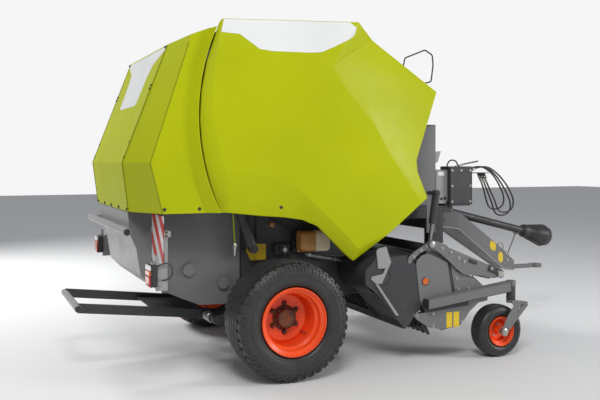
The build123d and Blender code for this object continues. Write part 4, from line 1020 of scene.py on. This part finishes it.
class BALER_OT_valve_box(bpy.types.Operator):
    """Cases the front boxes: light cover, dark housing and its lid, post faces, lead and hose fittings."""

    bl_idname = "baler.valve_box"
    bl_label = "Front boxes"

    def execute(self, context):
        for name, blocks, finish in (("front_cover", COVER_BLOCKS, "light"),
                                     ("front_housing", HOUSING_BLOCKS, "black")):
            dress(joined(name, [box(name, *sizes) for sizes in blocks]), finish, "chassis")
        # A white patch on the light cover: a painted highlight.
        dress(box("front_cover_highlight", (1502, 1560), (-665, -662.2), (1428, 1460), 1), "white", "chassis")
        heads = [(x, -703.5, z) for x in (1612, 1792) for z in (1212, 1342, 1472)] + [(1702, -703.5, 1472)]
        dress(bolts("front_lid_bolts", heads, 14, 5), "zinc", "chassis")
        heads = [(1500, -662.5, 1240), (1535, -662.5, 1236), (1568, -662.5, 1240)]
        dress(bolts("front_cover_bolts", heads, 16, 8), "dark", "chassis")
        face = ((1236, 1186), (1236, 1800), (1466, 1850), (1466, 1186))
        pair(side_plate("post_face_right", face, -676.3, -680, 0.001), "grey", "chassis")
        foot = ((1380, 960), (1380, 1186), (1466, 1186), (1466, 960))
        pair(side_plate("post_foot_right", foot, -676.3, -679, 0.001), "grey", "chassis")
        clip = ((1467, 1628), (1540, 1632), (1510, 1540), (1467, 1530))
        dress(side_plate("post_clip", clip, -646, -638, 0.0015), "light", "chassis")
        lead = [(1604, -640, 1506), (1610, -640, 1540), (1650, -640, 1562), (1700, -636, 1548),
                (1712, -632, 1516), (1730, -630, 1506)]
        dress(tube("front_lead", lead, 6), "black", "chassis")
        pipe = [(1715, -600, 1506), (1760, -596, 1514), (1830, -600, 1530), (1930, -620, 1548)]
        dress(tube("front_lead_pipe", pipe, 7), "steel", "chassis")
        fittings = []
        for y in HOSE_YS:
            for (x, z), (next_x, next_z), nut in ((HOSE_START, HOSE_ROUTE[0], None),
                                                  (HOSE_END, HOSE_ROUTE[-1], (26, 12))):
                end = Vector((x, y, z))
                run = (Vector((next_x, y, next_z)) - end).normalized()
                if nut:
                    fittings.append(bar("nut", *(spot(*(end - run * back)) for back in nut), 0.0150, 6))
                fittings.append(bar("sleeve", spot(*end), spot(*(end + run * 30)), 0.0105, 16))
        dress(joined("hose_fittings", fittings), "zinc", "chassis")
        return {"FINISHED"}


# Bends of a light tube along the drawbar's lower edge: a painted highlight on the bend.
DRAWBAR_HIGHLIGHT_LINE = ((1560, 190, 1000), (2030, 190, 930), (2620, 75, 520), (2750, 48, 501))
DRAWBAR_BLANKS = (          # outlines of the blank yellow plates
    ((2436, 800), (2490, 782), (2512, 748), (2500, 700), (2452, 712), (2424, 750)),
    ((2562, 690), (2600, 668), (2604, 600), (2572, 580), (2540, 612), (2538, 660)),
)
SIDE_OUT = Vector((0.191, -0.981, 0))       # outwards from the drawbar's right side ahead of its bend


def drawbar_plate(name, outline, thickness, finish):
    """A thin plate just clear of the drawbar's right side."""
    corners = [spot(x, (x - 2030) * 0.195 - 190, z) + SIDE_OUT * 0.0002 for x, z in outline]
    return dress(plate(name, corners, SIDE_OUT * thickness), finish, "chassis")


class BALER_OT_drawbar(bpy.types.Operator):
    """Adds a light tube along the drawbar's lower edges as a painted highlight, blank plates, a black plate
    in the slot as painted shade, eye bush and clip, and the jack's crank.
    """

    bl_idname = "baler.drawbar"
    bl_label = "Drawbar trim"

    def execute(self, context):
        # A light tube on each lower edge of the drawbar: a painted highlight.
        highlight_lines = []
        for hand in (-1, 1):
            bends = [(x, hand * y, z) for x, y, z in DRAWBAR_HIGHLIGHT_LINE]
            highlight_lines.append(tube("drawbar_painted_highlight", bends, 7, curved=False, sides=2))
        dress(joined("drawbar_painted_highlights", highlight_lines), "light", "chassis")
        for n, outline in enumerate(DRAWBAR_BLANKS):
            drawbar_plate(f"drawbar_plate_{n + 1}", outline, 0.0012, "yellow")
        # A black plate where the slot is: painted shade inside the hole.
        slot = drawbar_plate("drawbar_slot_shade", ((1750, 1050), (1850, 1034), (1862, 1018), (1850, 1006),
                                              (1750, 1022), (1738, 1036)), 0.001, "black")
        for vertex in slot.data.vertices:
            vertex.co.y = min(vertex.co.y, -0.1902)
        bush = [(20.2, -18), (30, -18), (32, -16.2), (34, -16.2), (34, 16.2), (32, 16.2), (30, 18),
                (20.2, 18)]
        dress(turned("hitch_bush", bush, spot(3049, 0, 525), UP, (1, 0, 0), 40), "steel", "chassis")
        clip = [(2540, -82, 744), (2548, -92, 790), (2600, -84, 762), (2612, -74, 712)]
        dress(tube("drawbar_clip", clip, 5), "zinc", "chassis")
        heads = [(2646, -69, 668), (2690, -60, 640), (2664, -65, 600)]
        dress(bolts("drawbar_bolts", heads, 22, 9, (0.2, -0.98, 0)), "zinc", "chassis")
        crank = [(1980, 250, 1010), (1980, 250, 1052), (1984, 262, 1060), (2010, 322, 1060),
                 (2016, 340, 1062), (2016, 342, 1080), (2016, 342, 1150)]
        dress(tube("jack_crank", crank, 8), "zinc", "chassis")
        collar = [(38.2, 960), (44, 962), (44, 1002), (40, 1012), (9, 1013), (9, 1009), (38.2, 1009)]
        dress(turned_up("jack_collar", collar, 1980, 250, 32), "dark", "chassis")
        return {"FINISHED"}


BELLOWS, BELL_RIBS = 7, 12


class BALER_OT_shaft_guard(bpy.types.Operator):
    """Rings the drive shaft's guard: bellows neck, bell, its ribs and the yoke."""

    bl_idname = "baler.shaft_guard"
    bl_label = "Shaft guard"

    def execute(self, context):
        start, end = spot(1905, 0, 1112), spot(3178, 0, 801.4)
        run, length = (end - start).normalized(), (end - start).length * 1000
        side = Vector((-run.z, 0, run.x))
        bell = [(36.3, -318)]       # radius, distance from the shaft's end
        for n in range(BELLOWS):
            at, radius = -312 + n * 16, 50 + n * 4.0
            bell += [(radius - 6, at), (radius + 3, at + 5), (radius + 3, at + 9), (radius - 5, at + 14)]
        bell += [(74, -196), (92, -130), (107, -62), (107, -56), (99, -50), (91, -2), (89, -2), (104, -62),
                 (72, -192)]
        yoke = [(17.7, -190), (30, -190), (30, -120), (40, -100), (42, 30), (38, 52), (34.3, 58),
                (17.7, 58)]
        for name, profile, steps, finish in (("shaft_guard_bell", bell, 48, "black"),
                                             ("shaft_yoke", yoke, 24, "zinc")):
            profile = [(r, w + length) for r, w in profile]
            dress(turned(name, profile, start, run, side, steps), finish, "chassis")
        ribs = []
        for n in range(BELL_RIBS):
            rib = bar("bell_rib", start + side * 0.0765 + run * (length - 196) / 1000,
                      start + side * 0.1085 + run * (length - 60) / 1000, 0.003, 6)
            rib.data.transform(turned_by(start, math.tau * n / BELL_RIBS, run))
            ribs.append(rib)
        dress(joined("shaft_guard_ribs", ribs), "black", "chassis")
        return {"FINISHED"}


# Under the shields

WALL_FACE = -616.2          # outer face of the right side wall
WALL_PIPES = (              # radius, points
    (5, ((20, -630, 1112), (110, -632, 1076), (190, -636, 1024), (230, -640, 962))),
    (6, ((-90, -624, 1200), (-92, -626, 1010), (-90, -628, 934))),
    (7, ((172, -640, 900), (240, -644, 892), (330, -650, 846), (470, -654, 815), (640, -650, 800))),
    (7, ((172, -628, 860), (300, -634, 812), (420, -640, 790), (560, -640, 770), (640, -640, 742))),
    (6, ((114, -700, 850), (116, -704, 800), (150, -700, 764), (230, -690, 752), (300, -680, 748))),
)


class BALER_OT_flank(bpy.types.Operator):
    """Fits what shows on the side walls under the shields: valves, pipes, rail and blank plate."""

    bl_idname = "baler.flank"
    bl_label = "Side wall trim"

    def execute(self, context):
        label = ((-166, 928), (-10, 922), (-10, 805), (-133, 800), (-166, 872))
        dress(side_plate("wall_plate_yellow", label, -616.4, -618.0, 0.0005), "yellow", "chassis")
        valve = [box("wall_valve", (52, 172), (-664, WALL_FACE), (836, 922), 6),
                 box("wall_valve", (80, 150), (-690, -664), (850, 905), 5),
                 box("wall_valve", (196, 262), (-650, WALL_FACE), (850, 960), 6)]
        dress(joined("wall_valve", valve), "dark", "chassis")
        cap = [(0.5, 706), (16, 706), (19, 703), (19, 690), (26, 690), (26, 686), (0.5, 686)]
        dress(turned_out("wall_valve_cap", cap, 114, 878, 24), "zinc", "chassis")
        port = [(0.5, 634), (14, 634), (20, 631), (22, 626), (22, -WALL_FACE), (0.5, -WALL_FACE)]
        dress(turned_out("wall_port", port, 38, 1065, 28), "tank", "chassis")
        pipes = [tube("wall_pipe", points, radius) for radius, points in WALL_PIPES]
        dress(joined("wall_pipes_right", pipes), "black", "chassis")
        rail = ((300, 836), (330, 838), (842, 716), (842, 700), (320, 818))
        pair(side_plate("wall_rail_right", rail, -640, -628, 0.0015), "light", "chassis")
        pegs = [(340, -640, 826), (560, -640, 775), (800, -640, 716)]
        pair(bolts("wall_rail_bolts_right", pegs, 20, 9), "zinc", "chassis")
        return {"FINISHED"}


class BALER_OT_tank(bpy.types.Operator):
    """Moulds the chains' oil tank with rounded ends, a seam and a filler cap."""

    bl_idname = "baler.tank"
    bl_label = "Oil tank"

    def execute(self, context):
        tank = joined("oil_tank_shell", [
            smooth(box("oil_tank_shell", (216, 466), (-780, -642), (860, 1016), 34, 6), 60),
            box("oil_tank_seam", (213, 469), (-712, -708), (857, 1019), 1.5),
            box("oil_tank_foot", (300, 380), (-660, WALL_FACE), (900, 960), 4)])
        dress(tank, "tank", "chassis")
        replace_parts(tank, "oil_tank")
        cap = [(0.5, 1046), (20, 1046), (24, 1043), (25, 1018), (20, 1015), (0.5, 1015)]
        dress(turned_up("oil_tank_cap", cap, 410, -712, 24), "black", "chassis")
        return {"FINISHED"}


class BALER_OT_stays(bpy.types.Operator):
    """Hangs each shield's thin latch rod with its fitting."""

    bl_idname = "baler.stays"
    bl_label = "Latch rods"

    def execute(self, context):
        bends = [(-392, -974, 1236), (-390, -975, 1165), (-384, -975, 1060), (-378, -975, 972)]
        lug = box("latch_rod_lug", (-404, -380), (-994, -966), (1226, 1246), 2)
        rod = joined("latch_rod_right", [tube("latch_rod_right", bends, 4.5), lug])
        pair(rod, "lime_dark", "shield_right")
        end = [(0.5, 978), (8, 978), (13, 972), (15, 966), (15, 952), (10, 948), (10, 930), (7, 900),
               (4, 886), (0.5, 885)]
        pair(turned_up("latch_fitting_right", end, -378, -975, 20), "zinc", "shield_right")
        return {"FINISHED"}


# Rear

BAR_X, BAR_Z = -1100, 1065  # the light carrier's open tube
RAMP_TAIL, RAMP_PIVOT = (-1369, 0, 487), (-421, 0, 378)
SPRING_R, SPRING_TURNS, SPRING_PITCH = 31, 8, 19.2


class BALER_OT_lamps(bpy.types.Operator):
    """Builds each rear lamp: housing, three-part lens, bracket and cable."""

    bl_idname = "baler.lamps"
    bl_label = "Rear lamps"

    def execute(self, context):
        housing = joined("lamp_housing_right", [
            box("lamp_back", (-1000, -958.3), (-1130, -1010), (725, 868), 7, 3),
            box("lamp_lip", (-1006, -998), (-1131, -1009), (723, 870), 2)])
        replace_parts(pair(housing, "black", "tailgate")[0], "rear_lamps")
        for name, low, high, bevel, finish in (("low", 727, 795, 6, "lamp"),
                                               ("mid", 797, 832, 5, "reflector"),
                                               ("top", 834, 866, 5, "white")):
            name = f"lamp_lens_{name}_right"
            pair(box(name, (-1018, -1003), (-1128, -1012), (low, high), bevel, 3), finish, "tailgate")
        pair(box("lamp_bracket_right", (-996, -948), (-1100, -1052), (868.3, 884), 2), "light", "tailgate")
        pair(box("lamp_plate_right", (-968, -948), (-1112, -1076), (868.3, 930), 2), "light", "tailgate")
        cable = [(-962, -1092, 850), (-930, -1096, 872), (-880, -1094, 876), (-850, -1090, 845),
                 (-852, -1088, 790), (-880, -1084, 764), (-918, -1077, 760), (-926, -1070, 760)]
        pair(tube("lamp_cable_right", cable, 4.5), "black", "tailgate")
        return {"FINISHED"}


class BALER_OT_carrier(bpy.types.Operator):
    """Builds the light carrier's tube and columns, and adds board frames, a black disc in each open tube end
    as painted shade, and bolts.
    """

    bl_idname = "baler.carrier"
    bl_label = "Light carrier"

    def execute(self, context):
        centre = spot(BAR_X, 0, BAR_Z)
        pipe = [(22.9, -820), (28, -820), (28, 820), (22.9, 820)]
        parts = [turned("carrier_tube", pipe, centre, steps=40)]
        for hand in (-1, 1):
            for xs, ys, zs, bevel in (((-900, -860), (616, 1075), (1045, 1085), 2),
                                      ((-899.5, -880), (1050, 1075), (872, 1085), 1),
                                      ((-958, -880), (1050, 1075), (690, 872), 2),
                                      ((BAR_X, -1049), (600, 616), (1040, 1092), 2)):
                parts.append(box("carrier_part", xs, sorted(hand * y for y in ys), zs, bevel))
        carrier = dress(joined("light_carrier_shell", parts), "light", "tailgate")
        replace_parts(carrier, "light_carrier")
        frame_bars = [box("board_frame", (-900, -893), ys, zs, 1) for ys, zs in (
            ((-1048, -1044), (848, 1184)), ((-708, -704), (848, 1184)), ((-1048, -704), (1180, 1184)),
            ((-1048, -704), (848, 852)))]
        pair(joined("board_frame_right", frame_bars), "dark", "tailgate")
        # Black discs a little way inside the open tube's ends: painted shade in the bore.
        shade_disc_profile = ((0.5, 815), (22.9, 815), (22.9, 812), (0.5, 812))
        shade_discs = [turned("rear_bar_shade_disc", [(r, hand * w) for r, w in shade_disc_profile], centre, steps=32)
                 for hand in (-1, 1)]
        dress(joined("rear_bar_shade_discs", shade_discs), "black", "tailgate")
        heads = [(x, -1075.3, z) for x, z in ((-930, 720), (-930, 760), (-889, 1030), (-889, 1066))]
        pair(bolts("carrier_bolts_right", heads, 12, 5), "zinc", "tailgate")
        return {"FINISHED"}


class BALER_OT_ramp(bpy.types.Operator):
    """Finishes the bale ramp: tail tube's skin and plugs, feet, collars and springs."""

    bl_idname = "baler.ramp"
    bl_label = "Bale ramp trim"

    def execute(self, context):
        tail, pivot = spot(*RAMP_TAIL), spot(*RAMP_PIVOT)
        skin = turned("ramp_tail_skin", [(24.2, -406), (26, -405), (26, 405), (24.2, 406)], tail, steps=32)
        dress(skin, "light", "bale_ramp")
        plugs, feet, coils = [], [], []
        for hand in (-1, 1):
            plug = ((0.5, 408), (20, 408), (24, 405.5), (0.5, 405.5))
            plugs.append(turned("ramp_plug", [(r, hand * w) for r, w in plug], tail, steps=24))
            feet.append(box("ramp_foot", (-470, -380), (hand * 348, hand * 382), (340, 420), 5))
            collar = ((22.3, 396), (36, 396), (36, 420), (22.3, 420))
            feet.append(turned("ramp_collar", [(r, hand * w) for r, w in collar], pivot, steps=28))
            coil = []
            for n in range(SPRING_TURNS * 12 + 1):
                turn = math.tau * n / 12
                coil.append((RAMP_PIVOT[0] + SPRING_R * math.cos(turn), hand * (430 + n * SPRING_PITCH / 12),
                             RAMP_PIVOT[2] + SPRING_R * math.sin(turn)))
            coils.append(tube("ramp_spring", coil, 4.5, curved=False, sides=1))
        dress(joined("ramp_plugs", plugs), "black", "bale_ramp")
        dress(joined("ramp_feet", feet), "dark", "bale_ramp")
        dress(joined("ramp_springs", coils), "steel", "bale_ramp")
        return {"FINISHED"}


LAMPS = (                   # name, place, aim, width in metres, watts
    ("key", (-3.0, -5.9, 6.0), (-0.4, -0.6, 1.2), 2.0, 250),
    ("front", (6.6, -5.6, 3.4), (0.6, -0.6, 1.4), 2.4, 310),
    ("rear", (-5.0, 6.2, 4.6), (-1.4, 0, 1.6), 2.4, 560),
)
CAMERA_PLACE, CAMERA_TURN = (-2165, -6321, 1567), -math.atan(342 / 800)


class BALER_OT_stage(bpy.types.Operator):
    """Sets the floor, the lights and the camera."""

    bl_idname = "baler.stage"
    bl_label = "Stage"

    def execute(self, context):
        settle()
        bpy.ops.mesh.primitive_plane_add(size=60, location=(0, 0, 0))
        floor = named("floor")
        floor.data.materials.append(Finish("floor_pale").done((0.80, 0.80, 0.80), 0.9, None))

        world = context.scene.world = bpy.data.worlds.new("studio")
        world.use_nodes = True
        nodes = world.node_tree.nodes
        nodes.clear()
        shades = []
        for tint, strength in (((0.93, 0.96, 1.0), 0.36), ((1, 1, 1), 0.92)):   # what lights, what shows
            shades.append(nodes.new("ShaderNodeBackground"))
            fill(shades[-1], {"Color": tint, "Strength": strength})
        mix = nodes.new("ShaderNodeMixShader")
        fill(mix, {"Fac": nodes.new("ShaderNodeLightPath").outputs["Is Camera Ray"],
                   1: shades[0].outputs["Background"], 2: shades[1].outputs["Background"]})
        fill(nodes.new("ShaderNodeOutputWorld"), {"Surface": mix.outputs["Shader"]})

        for name, place, aim, size, power in LAMPS:
            data = bpy.data.lights.new(name, "AREA")
            data.size, data.energy = size, power
            lamp = placed(name, data)
            lamp.location = place
            lamp.visible_glossy = name != "rear"    # that one would mirror in the sloping rear panel
            lamp.rotation_euler = (Vector(aim) - Vector(place)).to_track_quat("-Z", "Y").to_euler()

        data = bpy.data.cameras.new("camera")
        data.sensor_width, data.lens, data.shift_y = 36.0, 48.0, -41 / 600
        camera = context.scene.camera = placed("camera", data)
        camera.location = spot(*CAMERA_PLACE)
        camera.rotation_euler = (math.radians(90), 0, CAMERA_TURN)
        context.scene.view_settings.view_transform = "Standard"
        return {"FINISHED"}


class BALER_PT_panel(bpy.types.Panel):
    """Lists the baler's sizes, colours and steps."""

    bl_idname = "BALER_PT_panel"
    bl_label = "Round baler"
    bl_space_type = "VIEW_3D"
    bl_region_type = "UI"
    bl_category = "Baler"

    def draw(self, context):
        for group in (context.scene.baler_sizes, context.scene.baler_colours):
            for key in group.bl_rna.properties.keys():
                if key not in ("rna_type", "name"):
                    self.layout.prop(group, key)
        for step in STEPS:
            self.layout.operator(step.bl_idname)


STEPS = (
    BALER_OT_stage, BALER_OT_finishes, BALER_OT_hoses, BALER_OT_shields, BALER_OT_panels, BALER_OT_tyres,
    BALER_OT_hubs, BALER_OT_gauge_wheels, BALER_OT_tailgate, BALER_OT_pickup, BALER_OT_guard,
    BALER_OT_pickup_arms, BALER_OT_forks, BALER_OT_valve_box, BALER_OT_drawbar, BALER_OT_shaft_guard,
    BALER_OT_flank, BALER_OT_tank, BALER_OT_stays, BALER_OT_lamps, BALER_OT_carrier, BALER_OT_ramp,
)
CLASSES = (BalerSizes, BalerColours, *STEPS, BALER_PT_panel)


def register():
    """Registers the classes and their settings."""
    for cls in CLASSES:
        bpy.utils.register_class(cls)
    bpy.types.Scene.baler_sizes = PointerProperty(type=BalerSizes)
    bpy.types.Scene.baler_colours = PointerProperty(type=BalerColours)


def unregister():
    """Takes the settings and the classes away."""
    del bpy.types.Scene.baler_colours
    del bpy.types.Scene.baler_sizes
    for cls in reversed(CLASSES):
        bpy.utils.unregister_class(cls)


def main():
    """Runs every step in order."""
    register()
    for step in STEPS:
        group, action = step.bl_idname.split(".")
        getattr(getattr(bpy.ops, group), action)()


if __name__ == "__main__":
    main()
